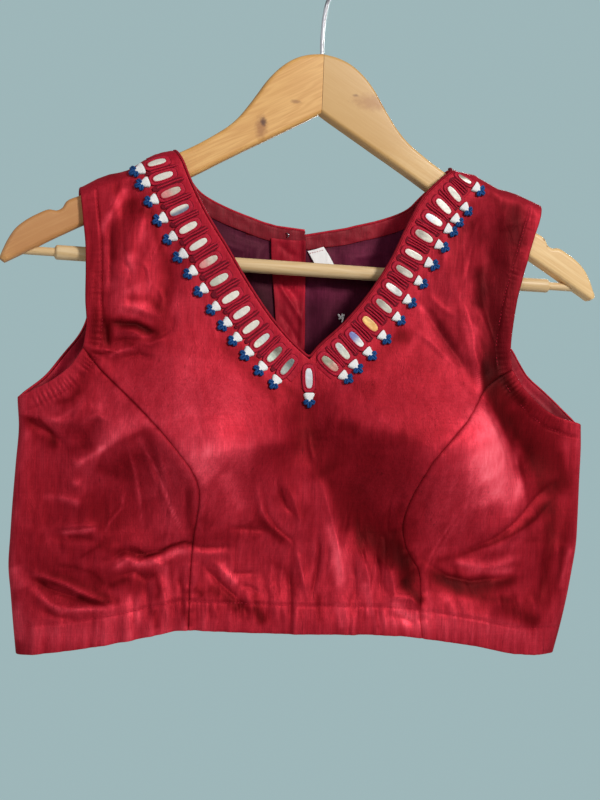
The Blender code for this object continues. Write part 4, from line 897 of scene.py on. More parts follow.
def relief(x, z, front):
    """How far creases, seams and puckers move the cloth out, in mm."""
    total = fold_sum(FRONT_FOLDS if front else BACK_FOLDS, x, z, 0.35, 0.25)
    total += blobs(FRONT_SWELLS if front else BACK_SWELLS, x, z)
    # uneven cloth, looser on the straps and below the bust
    seed = 0.0 if front else 31.0
    loose = 0.30 + 0.70 * np.maximum(smooth((-380.0 - z) / 60.0), 0.8 * smooth((z + 290.0) / 30.0))
    waves = x / 9.0 + 0.35 * broad_noise(z / 30.0, x / 50.0) * 3.0 + seed
    total += 1.0 * broad_noise(x / 30.0 + seed, z / 46.0)
    total += 0.62 * loose * middle_noise(waves, z / 27.0)
    total += 0.30 * loose * fine_noise(x / 4.2 + z / 90.0 + seed, z / 13.0)
    total += 0.8 * crinkles(x, z, seed) * loose
    # the hem stands off
    total += 5.0 * smooth((-462.0 - z) / 40.0)
    # calm cloth under the mirror work and along the back neck
    d = nearest([NECKS[front, side] for side in (-1, 1)], x, z)
    total *= 0.18 + 0.82 * smooth((d - 20.0) / 16.0) if front else 0.35 + 0.65 * smooth(d / 18.0)
    # gathers along the hem
    rise = z - hem(x)
    gathers = 1.3 * middle_noise(x / 8.0 + 3.0 + seed, rise / 40.0) + 0.6 * fine_noise(x / 3.4 + seed, rise / 30.0)
    total += ridge(np.maximum(rise - 16.0, 0.0), 10.0) * gathers
    total += puckers(rise, x, 5.0 + seed, 5.2, 0.42, 5.0, HEM_WIDTH)
    for side in (-1, 1):
        d, _, along, _ = near_line(ARMHOLES[front, side], x, z)
        total += puckers(d, along, 17.0 + side * 5, 3.4, 0.52, 4.5, FACING_WIDTH)
        total += 0.5 * smooth((FACING_WIDTH - d) / 0.8)
        if front:
            d, _, along, _ = near_line(PRINCESS_LINES[side], x, z)
            ripple = 0.4 * ridge(d, 5.0) * fine_noise(along / 3.2, along * 0 + 3.0 * side)
            total += 0.3 * ridge(d - 4.0, 3.5) - 0.45 * ridge(d, 0.6) + ripple
    if not front:
        d = np.abs(x - CENTRE_X)
        total += np.where(z < BACK_NECKLINE[-1][0], 0.4 * ridge(d - 5.0, 3.5) - 0.8 * ridge(d, 1.4), 0.0)
    # the two sheets share their side seams and shoulder lines
    at_side = np.where(z < -335.0, smooth(from_sides(x, z) / 14.0), 1.0)
    return total * at_side * smooth((crest(x) - z) / 13.0)


# Lattice of 1 mm of how far each spot stands above the cloth round it, painted as light above and shade below
FIELD_LOW = (-234.0, -528.0)
FIELD_SHAPE = (416, 470)


def blurred(field, reach):
    """A field averaged over a square neighbourhood, twice."""
    for _ in range(2):
        for axis in (0, 1):
            before = np.repeat(field.take([0], axis), reach + 1, axis)
            after = np.repeat(field.take([-1], axis), reach, axis)
            total = np.cumsum(np.concatenate([before, field, after], axis), axis=axis)
            count = field.shape[axis]
            high = total.take(range(2 * reach + 1, 2 * reach + 1 + count), axis)
            field = (high - total.take(range(count), axis)) / (2 * reach + 1)
    return field


def painted_crease_shading(front):
    x, z = np.meshgrid(FIELD_LOW[0] + np.arange(FIELD_SHAPE[1]), FIELD_LOW[1] + np.arange(FIELD_SHAPE[0]))
    height = relief(x.ravel(), z.ravel(), front).reshape(x.shape)
    return np.clip(0.20 * (height - blurred(height, 2)) + 0.085 * (height - blurred(height, 6)), -0.5, 0.22)


PAINTED_CREASE_SHADING = {front: painted_crease_shading(front) for front in (True, False)}


def painted_crease_shading_at(x, z, front):
    """The lattice read between its points."""
    field = PAINTED_CREASE_SHADING[front]
    u = np.clip(x - FIELD_LOW[0], 0.0, FIELD_SHAPE[1] - 1.001)
    v = np.clip(z - FIELD_LOW[1], 0.0, FIELD_SHAPE[0] - 1.001)
    i, j = v.astype(int), u.astype(int)
    fi, fj = v - i, u - j
    low = field[i, j] * (1 - fj) + field[i, j + 1] * fj
    high = field[i + 1, j] * (1 - fj) + field[i + 1, j + 1] * fj
    return low * (1 - fi) + high * fi


def tone_and_painted_shading(x, z, front, inside):
    """Colour of the silk against its plain one: painted light and shade, and a slow random change of tone."""
    # painted light and shade of the broad form, and painted shade in hollows and light on ridges
    t = blobs(FRONT_PAINTED_SHADING if front else BACK_PAINTED_SHADING, x, z) + painted_crease_shading_at(x, z, front)
    # painted shade: a little darker all over, and more below the bust
    t = t - 0.06 - 0.07 * smooth((-395.0 - z) / 40.0)
    # a slow random change of tone
    t = t + 0.10 * broad_noise(x / 23.0 + 5.0, z / 37.0 + (0.0 if front else 40.0))
    if front:
        # painted light and shade in strokes
        t = t + fold_sum(FRONT_PAINTED_STROKES, x, z, 0.16)
        for side in (-1, 1):
            # painted shade along the princess seams; the seam on the right is lost in the folds lower down
            seen = 1.0 - 0.85 * smooth((-425.0 - z) / 20.0) * (side > 0)
            t = t - 0.45 * seen * ridge(near_line(PRINCESS_LINES[side], x, z)[0], 0.55)
    # inner pieces: a little lighter on the front, painted light and shade on the inside of the back
    if inside:
        t = t + (0.30 if front else blobs(INSIDE_PAINTED_SHADING, x, z))
        return np.exp(np.stack([t, t, t], axis=1))
    # painted shade is also redder and painted light pinker, less so on the right strap
    warm = 1.0 - (0.5 * smooth((z + 330.0) / 30.0) * smooth((x - 60.0) / 40.0) if front else 0.0)
    return np.exp(np.stack([t, (1.0 + warm) * t, (1.0 + 0.7 * warm) * t], axis=1))


def skin(x, z, front, lift, moved=None):
    """Points of the cloth over (x, z), moved out by its relief and by lift, and the normals there."""
    away = -1.0 if front else 1.0
    normal = outward(x, z, front)
    base = np.stack([x, away * (depth(x, z, front) + GAP / 2), z], axis=-1)
    moved = relief(x, z, front) if moved is None else moved
    sunk = np.interp(x, *np.array(SHOULDER).T) * (1.0 - smooth((crest(x) - z) / 20.0))
    if not front:
        # the back's armholes lie a little further in than the front's below the shoulder
        inwards = smooth((-195.0 - z) / 25.0) * smooth((np.abs(x) - 120.0) / 40.0)
        ends = np.where(x < 0, smooth((z + 312.0) / 25.0), smooth((z + 335.0) / 25.0))
        base[..., 0] += np.where(x < 0, 3.4, -2.2) * inwards * ends
        # the left edge of the back opening stands a little higher than the right one
        d = x - CENTRE_X
        sunk = sunk + np.where(d < 0, 1.1 * ridge(d, 9.0), -2.7 * ridge(d, 13.0)) * smooth((z + 232.0) / 12.0)
    base[..., 2] += np.where(z > -250.0, sunk, 0.0)
    return base + normal * (lift + moved)[..., None], normal


# --- Mesh makers --------------------------------------------------------------------------------------------


def cos_sin(degrees):
    angle = math.radians(degrees)
    return math.cos(angle), math.sin(angle)


def make(name, vertices, faces, look, slot, replaces=(), colours=None):
    """A smooth mesh object from millimetres, riding on the body."""
    mesh = bpy.data.meshes.new(name)
    faces = [list(dict.fromkeys(face)) for face in faces]
    mesh.from_pydata((np.asarray(vertices) * MM).tolist(), [], [face for face in faces if len(face) > 2])
    mesh.shade_smooth()
    # colours hold painted light and shade, and on the mirrors painted reflections
    if colours is not None:
        layer = mesh.attributes.new("shade", "FLOAT_COLOR", "POINT")
        colours = np.concatenate([colours, np.ones((len(colours), 1))], axis=1)
        layer.data.foreach_set("color", colours.astype(np.float32).ravel())
    made = placed(name, mesh)
    mesh.materials.append(look)
    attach(made, "root")
    if replaces:
        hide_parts(*replaces)
    return made


def woven(rows, columns, closed=False):
    """Quads between the points of a grid. A closed one joins its last column to its first."""
    index = np.arange(rows * columns).reshape(rows, columns)
    after = np.roll(index, -1, axis=1)
    if not closed:
        index, after = index[:, :-1], after[:, :-1]
    return np.stack([index[:-1], after[:-1], after[1:], index[1:]], axis=-1).reshape(-1, 4)


def merged(grids, keep):
    """Points and quads of grids that share their common points. Quads run anticlockwise in x, z."""
    points = []
    quads = []
    start = 0
    for grid in grids:
        rows, columns = grid.shape[:2]
        points.append(grid.reshape(-1, 2))
        quads.append(start + woven(rows, columns))
        start += rows * columns
    points = np.concatenate(points)
    quads = np.concatenate(quads)
    if keep is not None:
        quads = quads[keep.reshape(-1)[quads].all(axis=1)]
    rounded = np.round(points * 1000).astype(np.int64)
    _, first, index = np.unique(rounded, axis=0, return_index=True, return_inverse=True)
    quads = index.reshape(-1)[quads]
    points = points[first]
    corner = points[quads]
    following = np.roll(corner, -1, axis=1)
    area = (corner[..., 0] * following[..., 1] - following[..., 0] * corner[..., 1]).sum(axis=1)
    quads = quads[np.abs(area) > 1e-6]
    area = area[np.abs(area) > 1e-6]
    quads = np.where((area > 0)[:, None], quads, quads[:, ::-1])
    used, index = np.unique(quads, return_inverse=True)
    return points[used], index.reshape(quads.shape)


def shell(name, grids, front, lift, thick, look, slot, replaces, rim=0.3, wrinkle=None, free=None, keep=None):
    """A thin wall of cloth with a rounded edge, over grids of (x, z) points.

    free has the lines where the cloth is turned over, which makes it thicker; keep says which points of a single
    grid are wanted."""
    points, quads = merged(grids, keep)
    if not front:
        quads = quads[:, ::-1]
    x, z = points.T
    n = len(x)
    moved = relief(x, z, front) + (wrinkle(x, z) if wrinkle else 0.0)
    walls = np.full(n, thick)
    rims = np.full(n, rim)
    if free is not None:
        d = nearest(free, x, z)
        walls += ridge(d, 1.2)
        rims = np.where(d < 0.5, 0.8, rims)
    outer, normal = skin(x, z, front, lift(x, z) if callable(lift) else lift, moved)
    inner = outer - normal * walls[:, None]
    # the open edges are those that no other quad runs along the other way
    edges = np.concatenate([quads[:, [k, (k + 1) % 4]] for k in range(4)])
    edges = edges[edges[:, 0] != edges[:, 1]]
    border = edges[~np.isin(edges @ [n + 1, 1], edges @ [1, n + 1])]
    ring = np.unique(border)
    a, b = np.searchsorted(ring, border).T
    push = np.cross(outer[border[:, 1]] - outer[border[:, 0]], normal[border[:, 0]])
    push /= np.maximum(np.linalg.norm(push, axis=1, keepdims=True), 1e-9)
    outside = np.zeros((len(ring), 3))
    np.add.at(outside, a, push)
    np.add.at(outside, b, push)
    outside /= np.maximum(np.linalg.norm(outside, axis=1, keepdims=True), 1e-9)
    middle = (outer[ring] + inner[ring]) / 2
    half = (outer[ring] - inner[ring]) / 2
    vertices = [outer, inner]
    levels = [ring]
    for k, angle in enumerate((36, 72, 108, 144)):
        c, s = cos_sin(angle)
        vertices.append(middle + half * c + outside * (rims[ring] * s)[:, None])
        levels.append(2 * n + k * len(ring) + np.arange(len(ring)))
    levels.append(ring + n)
    faces = [quads, quads[:, ::-1] + n]
    for upper, lower in zip(levels, levels[1:]):
        faces.append(np.stack([upper[b], upper[a], lower[a], lower[b]], axis=1))
    # painted light and shade, with a slow random tone, for each point
    shade = tone_and_painted_shading(x, z, front, look is not SILK)
    shade = np.concatenate([shade, shade] + [shade[ring]] * 4)
    make(name, np.concatenate(vertices), np.concatenate(faces).tolist(), look, slot, replaces, shade)


def tube(path, radii, sides, guide=(0.0, 1.0, 0.0), twist=None, ends=True):
    """Points and faces of a round cord along a path in three dimensions.

    twist is the length of one turn of its two strands, and how deep they lie."""
    tangent = np.gradient(path, axis=0)
    tangent /= np.linalg.norm(tangent, axis=1, keepdims=True)
    guide = np.broadcast_to(guide, path.shape)
    level = guide - (guide * tangent).sum(axis=1, keepdims=True) * tangent
    level /= np.linalg.norm(level, axis=1, keepdims=True)
    deep = np.cross(tangent, level)
    angle = 2 * math.pi * np.arange(sides) / sides
    n = len(path)
    r = np.broadcast_to(radii, n)[:, None] * np.ones(sides)
    if twist:
        turn, amount = twist
        turned = angle + 2 * math.pi * lengths(path)[:, None] / turn
        r = r * (1 - amount + amount * np.abs(np.cos(turned)))
    spokes = np.cos(angle)[:, None] * level[:, None] + np.sin(angle)[:, None] * deep[:, None]
    faces = woven(n, sides, True).tolist()
    if ends:
        faces += [list(range(sides))[::-1], list(range((n - 1) * sides, n * sides))]
    return (path[:, None] + r[..., None] * spokes).reshape(-1, 3), faces


def joined(parts):
    """Several (vertices, faces) or (vertices, faces, colours) as one."""
    faces = []
    count = 0
    for part in parts:
        faces += [[i + count for i in face] for face in part[1]]
        count += len(part[0])
    colours = [part[2] for part in parts if len(part) > 2]
    return np.concatenate([part[0] for part in parts]), faces, np.concatenate(colours) if colours else None


def lay(name, parts, front, look, slot, replaces=(), moved=None):
    """Joins small pieces given as flat points and heights, and lays them on the cloth."""
    points, faces, colours = joined(parts)
    if not front:
        faces = [face[::-1] for face in faces]
    x, z, h = points.T
    make(name, skin(x, np.minimum(z, crest(x) - 0.2), front, h, moved)[0], faces, look, slot, replaces, colours)


# --- Materials ----------------------------------------------------------------------------------------------


class Nodes:
    """Short names for making a material's nodes."""

    def __init__(self, name, **settings):
        self.material = bpy.data.materials.new(name)
        self.material.use_nodes = True
        self.tree = self.material.node_tree
        self.shader = self.tree.nodes["Principled BSDF"]
        for key, value in settings.items():
            self.shader.inputs[key.replace("_", " ")].default_value = value

    def set(self, socket, value):
        if hasattr(value, "is_output"):
            self.tree.links.new(value, socket)
        else:
            socket.default_value = value

    def node(self, kind, inputs=None, **values):
        made = self.tree.nodes.new(kind)
        for key, value in values.items():
            setattr(made, key, value)
        for socket, value in (inputs or {}).items():
            self.set(made.inputs[socket], value)
        return made

    def scaled(self, vector, scale):
        return self.node("ShaderNodeVectorMath", {0: vector, 1: scale}, operation="MULTIPLY").outputs[0]

    def place(self, scale=(1, 1, 1), turn=(0, 0, 0), shift=(0, 0, 0)):
        """Object coordinates, turned and then scaled."""
        source = self.node("ShaderNodeTexCoord").outputs["Object"]
        turned = self.node("ShaderNodeMapping", {"Rotation": turn, "Location": shift, "Vector": source})
        return self.scaled(turned.outputs[0], scale)

    def noise(self, vector, scale, detail=2.0, rough=0.5, distortion=0.0):
        inputs = {"Vector": vector, "Scale": scale, "Detail": detail, "Roughness": rough, "Distortion": distortion}
        return self.node("ShaderNodeTexNoise", inputs).outputs["Fac"]

    def ramp(self, value, *stops):
        """Maps a value through (place, grey or colour) stops."""
        made = self.node("ShaderNodeValToRGB", {0: value})
        ramp = made.color_ramp
        while len(ramp.elements) < len(stops):
            ramp.elements.new(0.5)
        for element, (place, grey) in zip(ramp.elements, stops):
            element.position = place
            element.color = (grey, grey, grey, 1.0)
        return made.outputs["Color"]

    def math(self, operation, a, b=0.0):
        return self.node("ShaderNodeMath", {0: a, 1: b}, operation=operation).outputs[0]

    def mix(self, share, a, b, blend="MIX"):
        a, b = ((*c, 1.0) if isinstance(c, tuple) else c for c in (a, b))
        inputs = {"Factor": share, "A": a, "B": b}
        return self.node("ShaderNodeMix", inputs, data_type="RGBA", blend_type=blend).outputs["Result"]

    def attribute(self, name):
        return self.node("ShaderNodeAttribute", attribute_name=name).outputs["Color"]

    def bump(self, height, distance, strength=1.0, over=None):
        inputs = {"Height": height, "Distance": distance, "Strength": strength}
        if over is not None:
            inputs["Normal"] = over
        return self.node("ShaderNodeBump", inputs).outputs["Normal"]

    def finish(self, colour=None, normal=None, roughness=None):
        for key, value in (("Base Color", colour), ("Normal", normal), ("Roughness", roughness)):
            if value is not None:
                self.set(self.shader.inputs[key], value)
        return self.material


def tuned(colour, factor):
    return tuple(min(1.0, c * factor) for c in colour)


def silk(name, dark, plain, light, rough, sheen, tint, slub=1.0, metallic=0.38, gloss=0.16):
    """Hand-woven silk: a fine grain, uneven threads up and down, and a soft gloss."""
    settings = {"Roughness": rough, "Metallic": metallic, "Sheen_Weight": sheen, "Sheen_Roughness": 0.35}
    n = Nodes(name, Sheen_Tint=(*tint, 1.0), **settings)
    n.shader.inputs["Specular IOR Level"].default_value = gloss
    n.shader.inputs["Specular Tint"].default_value = (1.0, 0.45, 0.45, 1.0)
    grain = n.noise(n.place(), 900.0, 2.0, 0.6)
    mottle = n.noise(n.place((1, 1, 0.4)), 260.0, 3.0, 0.6)
    threads = n.noise(n.place((1300, 1300, 30)), 1.0, 3.0, 0.65)
    wefts = n.noise(n.place((36, 36, 1200)), 1.0, 2.0, 0.6)
    slubs = n.noise(n.place((420, 420, 11)), 1.0, 2.0, 0.7)
    thick = n.noise(n.place((520, 520, 16), shift=(3.0, 1.0, 7.0)), 1.0, 2.0, 0.7)
    creased = n.noise(n.place((150, 150, 46), turn=(0.0, 0.15, 0.0)), 1.0, 3.0, 0.6, 0.6)
    creased = n.ramp(n.math("ABSOLUTE", n.math("SUBTRACT", creased, 0.5)), (0.0, 1.0), (0.045, 0.3), (0.16, 0.0))
    patches = n.ramp(n.noise(n.place((1, 1, 0.6)), 55.0, 1.0), (0.40, 0.0), (0.62, 1.0))
    creased = n.math("MULTIPLY", creased, patches)
    base = n.mix(n.ramp(mottle, (0.36, 0.0), (0.64, 1.0)), dark, light)
    base = n.mix(0.72, base, plain)
    grey = n.math("ADD", n.math("MULTIPLY", threads, 0.60), n.math("MULTIPLY", grain, 0.22))
    grey = n.math("ADD", grey, n.math("MULTIPLY", wefts, 0.18))
    base = n.mix(0.32, base, n.ramp(grey, (0.40, 0.26), (0.60, 0.74)), "OVERLAY")
    lines = n.ramp(slubs, (0.655, 0.0), (0.75, 0.50 * slub))
    base = n.mix(lines, base, tuned(dark, 0.45))
    base = n.mix(n.ramp(thick, (0.64, 0.0), (0.76, 0.20 * slub)), base, tuned(light, 1.35))
    # painted light and shade from the mesh, and a slow random tone
    base = n.mix(1.0, base, n.attribute("shade"), "MULTIPLY")
    height = n.math("ADD", n.math("MULTIPLY", threads, 0.5), n.math("MULTIPLY", wefts, 0.30))
    height = n.math("ADD", height, n.math("MULTIPLY", grain, 0.35))
    height = n.math("ADD", height, n.math("MULTIPLY", lines, -0.6))
    return n.finish(base, n.bump(creased, 0.00009 * slub, 1.0, n.bump(height, 0.00012)))


def thread(name, colour, rough, sheen, varied, tint):
    """Embroidery thread: strands and a little fuzz."""
    n = Nodes(name, Roughness=rough, Sheen_Weight=sheen, Sheen_Roughness=0.4, Sheen_Tint=(*tint, 1.0))
    n.shader.inputs["Specular IOR Level"].default_value = 0.3
    n.shader.inputs["Specular Tint"].default_value = (*tint, 1.0)
    fuzz = n.noise(n.place(), 1300.0, 2.0, 0.6)
    patches = n.noise(n.place(), 160.0)
    base = n.mix(n.ramp(fuzz, (0.35, 0.0), (0.65, 1.0)), tuned(colour, 1 - 2 * varied), colour)
    base = n.mix(n.ramp(patches, (0.4, 0.0), (0.7, 0.35)), base, tuned(colour, 1.25))
    return n.finish(base, n.bump(fuzz, 0.0003, 0.7))


# Silks: dark, plain and light colour, roughness, sheen and its tint, then slubs, metallic and gloss
SILK_COLOURS = (0.35, 0.0108, 0.0228), (0.46, 0.0192, 0.0362), (0.60, 0.0375, 0.0625)
# the inside pieces are the same silk, painted darker as shade
SHADED_INSIDE_COLOURS = (0.13, 0.0026, 0.0075), (0.185, 0.0048, 0.0135), (0.25, 0.009, 0.020)
LINING_COLOURS = (0.038, 0.0038, 0.0125), (0.066, 0.0068, 0.0215), (0.10, 0.012, 0.034)
PIPING_COLOURS = (0.23, 0.0043, 0.0125), (0.32, 0.0075, 0.021), (0.43, 0.013, 0.031)
SILK = silk("silk", *SILK_COLOURS, 0.55, 0.10, (1.0, 0.42, 0.46))
# the same silk painted darker as shade, for the facings and the hem bands
SHADED_SILK_INSIDE = silk("silk_inside_shaded", *SHADED_INSIDE_COLOURS, 0.52, 0.03, (1.0, 0.4, 0.45), 0.8, 0.1, 0.35)
LINING = silk("lining", *LINING_COLOURS, 0.46, 0.0, (0.9, 0.5, 0.8), 0.2, 0.12, 0.12)
PIPING = silk("piping", *PIPING_COLOURS, 0.52, 0.04, (1.0, 0.3, 0.35), 0.5, 0.14, 0.2)
# Threads: colour, roughness, sheen, how much they vary, tint of their gloss
DARK_THREAD = thread("dark_thread", (0.19, 0.0070, 0.0190), 0.65, 0.0, 0.25, (1.0, 0.3, 0.35))
RED_THREAD = thread("red_thread", (0.54, 0.0150, 0.042), 0.55, 0.08, 0.22, (1.0, 0.35, 0.4))
WHITE_THREAD = thread("white_thread", (0.90, 0.89, 0.87), 0.60, 0.0, 0.04, (1.0, 1.0, 1.0))
BLUE_THREAD = thread("blue_thread", (0.012, 0.075, 0.26), 0.55, 0.0, 0.22, (0.5, 0.7, 1.0))


def mirror_glass():
    """Small cut mirrors: a painted reflection, slightly uneven, under clear glass."""
    n = Nodes("mirror", Metallic=0.15, Roughness=0.42, Coat_Weight=0.35, Coat_Roughness=0.22)
    cloud = n.noise(n.place(), 420.0, 3.0, 0.6)
    base = n.mix(n.ramp(cloud, (0.35, 0.0), (0.72, 0.22)), n.attribute("shade"), (0.42, 0.36, 0.34))
    return n.finish(base, n.bump(n.noise(n.place(), 260.0, 1.0), 0.0005, 0.5))


def label_cloth():
    n = Nodes("label", Roughness=0.62, Sheen_Weight=0.1)
    ribs = n.noise(n.place((2600, 2600, 500)), 1.0, 1.0)
    soft = n.noise(n.place(), 180.0)
    base = n.mix(n.ramp(soft, (0.35, 0.0), (0.7, 1.0)), (0.86, 0.85, 0.84), (0.93, 0.92, 0.91))
    return n.finish(base, n.bump(ribs, 0.0001, 0.5))


def wood(name, colours, slope, shift, marks_and_shadows, rough):
    """Varnished softwood, its grain along the board. Marks and painted shadows: place, half width and height,
    strength, colour.
    """
    pale, grain, deep = colours
    n = Nodes(name, Roughness=rough, Coat_Weight=0.12, Coat_Roughness=0.25)
    along = n.place((1, 1, 1), (0.0, math.radians(slope), 0.0), shift)
    rings = n.noise(n.scaled(along, (7.0, 70.0, 95.0)), 1.0, 2.0, 0.5, 0.6)
    fibres = n.noise(n.scaled(along, (40.0, 1300.0, 1300.0)), 1.0, 2.0, 0.6)
    bands = n.math("SINE", n.math("MULTIPLY", rings, 46.0))
    base = n.mix(n.ramp(n.math("MULTIPLY_ADD", bands, 0.5), (0.0, 0.0), (0.85, 0.75)), pale, grain)
    base = n.mix(n.ramp(fibres, (0.45, 0.0), (0.75, 0.45)), base, deep)
    base = n.mix(n.ramp(n.noise(n.place(), 14.0), (0.42, 0.0), (0.66, 0.35)), base, grain)
    for (x, y, z), (wide, tall), strength, colour in marks_and_shadows:
        spot = n.place((1 / wide, 1 / (2 * wide), 1 / tall))
        middle = (x / wide, y / (2 * wide), z / tall)
        spot = n.node("ShaderNodeVectorMath", {0: spot, 1: middle}, operation="SUBTRACT").outputs[0]
        size = n.node("ShaderNodeVectorMath", {0: spot}, operation="LENGTH").outputs["Value"]
        rough_edge = n.math("MULTIPLY", n.noise(n.place(), 420.0, 2.0, 0.6), 0.9 if wide < 0.02 else 0.2)
        ragged = n.math("MULTIPLY", n.math("ADD", size, rough_edge), 0.5)
        base = n.mix(n.ramp(ragged, (0.42, strength), (0.85, 0.0)), base, colour)
    gloss = n.math("ADD", rough - 0.08, n.math("MULTIPLY", fibres, 0.16))
    return n.finish(base, n.bump(fibres, 0.00012, 0.6), gloss)


chrome = Nodes("chrome", Metallic=1.0, Roughness=0.11, Base_Color=(0.44, 0.44, 0.46, 1.0))
CHROME = chrome.finish(None, chrome.bump(chrome.noise(chrome.place(), 900.0), 0.00004, 0.4))
MIRROR = mirror_glass()
LABEL_CLOTH = label_cloth()
LEFT_MARKS_AND_SHADOW = (
    # painted shadow near the cloth; then a knot in two parts and a small mark
    ((-0.1880, -0.0065, -0.2200), (0.0440, 0.0480), 0.70, (0.47, 0.190, 0.066)),
    ((-0.0450, -0.0065, -0.1430), (0.0046, 0.0090), 0.70, (0.33, 0.115, 0.030)),
    ((-0.0435, -0.0065, -0.1390), (0.0022, 0.0032), 0.90, (0.10, 0.030, 0.010)),
    ((-0.0200, -0.0065, -0.1220), (0.0040, 0.0015), 0.55, (0.22, 0.085, 0.025)),
)
RIGHT_MARKS = (
    ((0.0300, -0.0065, -0.1100), (0.0600, 0.0560), 0.80, (0.60, 0.340, 0.110)),
    ((0.0380, -0.0065, -0.1170), (0.0150, 0.0060), 0.70, (0.44, 0.195, 0.060)),
    ((0.0250, -0.0065, -0.1130), (0.0024, 0.0010), 0.6, (0.20, 0.080, 0.030)),
    ((0.1800, -0.0065, -0.2080), (0.0014, 0.0014), 0.7, (0.22, 0.090, 0.035)),
    ((0.1825, -0.0065, -0.2130), (0.0010, 0.0010), 0.6, (0.22, 0.090, 0.035)),
)
LEFT_COLOURS = (0.82, 0.465, 0.150), (0.70, 0.355, 0.100), (0.54, 0.235, 0.062)
RIGHT_COLOURS = (0.90, 0.62, 0.29), (0.80, 0.51, 0.21), (0.64, 0.37, 0.14)
BAR_COLOURS = (0.78, 0.57, 0.31), (0.69, 0.46, 0.21), (0.57, 0.35, 0.15)
ARM_WOOD = {
    -1: wood("pine_left", LEFT_COLOURS, 29.0, (0.0, 0.0, 0.0), LEFT_MARKS_AND_SHADOW, 0.5),
    1: wood("pine_right", RIGHT_COLOURS, -29.0, (0.35, 0.2, 0.1), RIGHT_MARKS, 0.5),
}
BAR_WOOD = wood("bar_wood", BAR_COLOURS, 0.0, (0.1, 0.4, 0.2), (), 0.60)

# --- Hanger -------------------------------------------------------------------------------------------------

BOARD = 13.0
BOARD_ROUND = 3.4
BOARD_ROWS = 150
BAR_Z = -242.5
BAR_RADIUS = 5.15
BAR_HALF = 186.0
TENON_RADIUS = 3.0
TENON_HALF = 213.0
WIRE_RADIUS = 1.4
WIRE_ROWS = 220

# Hanger arm: x and z of its top, x and z of its underside
ARM = (
    (0.15, -84.5, 0.15, -128.5), (12, -86.5, 8, -133.2), (22, -90.5, 15, -137.2), (32, -98, 22, -141.2),
    (40, -107, 29, -145.2), (47, -117.5, 36, -149.2), (53.5, -127, 44, -153.8), (60, -135.5, 53, -158.8),
    (68, -143.5, 62, -164), (79, -151.5, 73, -170.4), (92, -159.8, 87, -178.8), (110, -169.6, 106, -189.2),
    (140, -184.8, 135, -204.6), (172, -202.2, 165, -220.6), (181, -207, 174, -225.4), (183.5, -211.5, 178, -227.6),
    (187.5, -213.8, 182, -229.8), (192.5, -213.4, 186, -232), (200, -216.8, 193, -236), (208, -221.8, 199, -239.6),
    (215, -228.2, 205, -243), (219.8, -236, 211, -246.4), (223, -243.5, 217, -249.8), (225, -249, 221, -252),
)

# Hook wire: x, z
HOOK = (
    (0, -104), (0, -84), (0, -70), (0.9, -56), (3.2, -44), (9, -34.5), (15.8, -27.5), (19, -17.6), (16.4, -8),
    (9.5, -1.2), (0, 1.4), (-9.5, -1.2), (-16.4, -8), (-19, -17.6), (-17.6, -25),
)


def hanger_arm(side):
    """One flat board with rounded edges, swept from the middle to its tip."""
    rows = np.array(ARM)
    length = lengths(rows[:, :2] + rows[:, 2:])
    walked = np.linspace(0.0, length[-1], BOARD_ROWS)
    fine = hermite(length, rows, walked)
    section = []
    for cx, cy, start in ((1, 1, 0), (-1, 1, 90), (-1, -1, 180), (1, -1, 270)):
        section += [(cx, cy, *cos_sin(start + step)) for step in range(0, 91, 10)]
    section = np.array(section)
    top, low = (np.stack([fine[:, k] * side, 0 * fine[:, 0], fine[:, k + 1]], axis=1) for k in (0, 2))
    half = np.linalg.norm(top - low, axis=1) / 2
    up = (top - low) / (2 * half[:, None])
    bend = np.minimum(BOARD_ROUND, half * 0.8)[:, None]
    # the tip is rounded off in thickness too
    thick = BOARD / 2 * (0.80 + 0.20 * cap((length[-1] - walked)[:, None] / 5.0))
    along = section[:, 0] * (half[:, None] - bend) + bend * section[:, 2]
    vertices = ((top + low) / 2)[:, None] + up[:, None] * along[..., None]
    vertices[..., 1] = section[:, 1] * (thick - bend) + bend * section[:, 3]
    n = len(section)
    faces = woven(BOARD_ROWS, n, True).tolist()
    faces += [list(range(n))[::-1], list(range((BOARD_ROWS - 1) * n, BOARD_ROWS * n))]
    if side > 0:
        faces = [face[::-1] for face in faces]
    node = "hanger_arm_" + NAMES[side]
    return make("arm_" + NAMES[side], vertices.reshape(-1, 3), faces, ARM_WOOD[side], "hanger_wood", [node])


for side in (-1, 1):
    hanger_arm(side).data.set_sharp_from_angle(angle=math.radians(50.0))

# one end of the bar: distance from the middle, radius
tenon = np.array([
    (BAR_HALF + 0.2, BAR_RADIUS - 0.2),
    (BAR_HALF + 0.9, BAR_RADIUS - 0.9),
    (BAR_HALF + 1.6, TENON_RADIUS),
    (TENON_HALF, TENON_RADIUS),
])
spine = np.concatenate([-tenon[::-1, 0], np.linspace(-BAR_HALF + 0.5, BAR_HALF - 0.5, 90), tenon[:, 0]])
girth = np.concatenate([tenon[::-1, 1], [BAR_RADIUS] * 90, tenon[:, 1]])
path = np.stack([spine, 0 * spine, 0 * spine + BAR_Z], axis=1)
bar = make("bar", *tube(path, girth, 48), BAR_WOOD, "bar_wood", ["trouser_bar"])
bar.data.set_sharp_from_angle(angle=math.radians(60.0))

x, z = resampled(HOOK, WIRE_ROWS).T
wire = np.stack([x, 0 * x, z], axis=1)
way = wire[-1] - wire[-2]
way /= np.linalg.norm(way)
tip = [cos_sin(angle) for angle in (30, 55, 75, 88)]
wire = np.concatenate([wire, [wire[-1] + way * WIRE_RADIUS * 0.8 * s for c, s in tip]])
girth = WIRE_RADIUS * np.array([1.0] * WIRE_ROWS + [c for c, s in tip])
make("wire_hook", *tube(wire, girth, 20), CHROME, "chrome", ["hook"])

# --- Blouse: panels -----------------------------------------------------------------------------------------

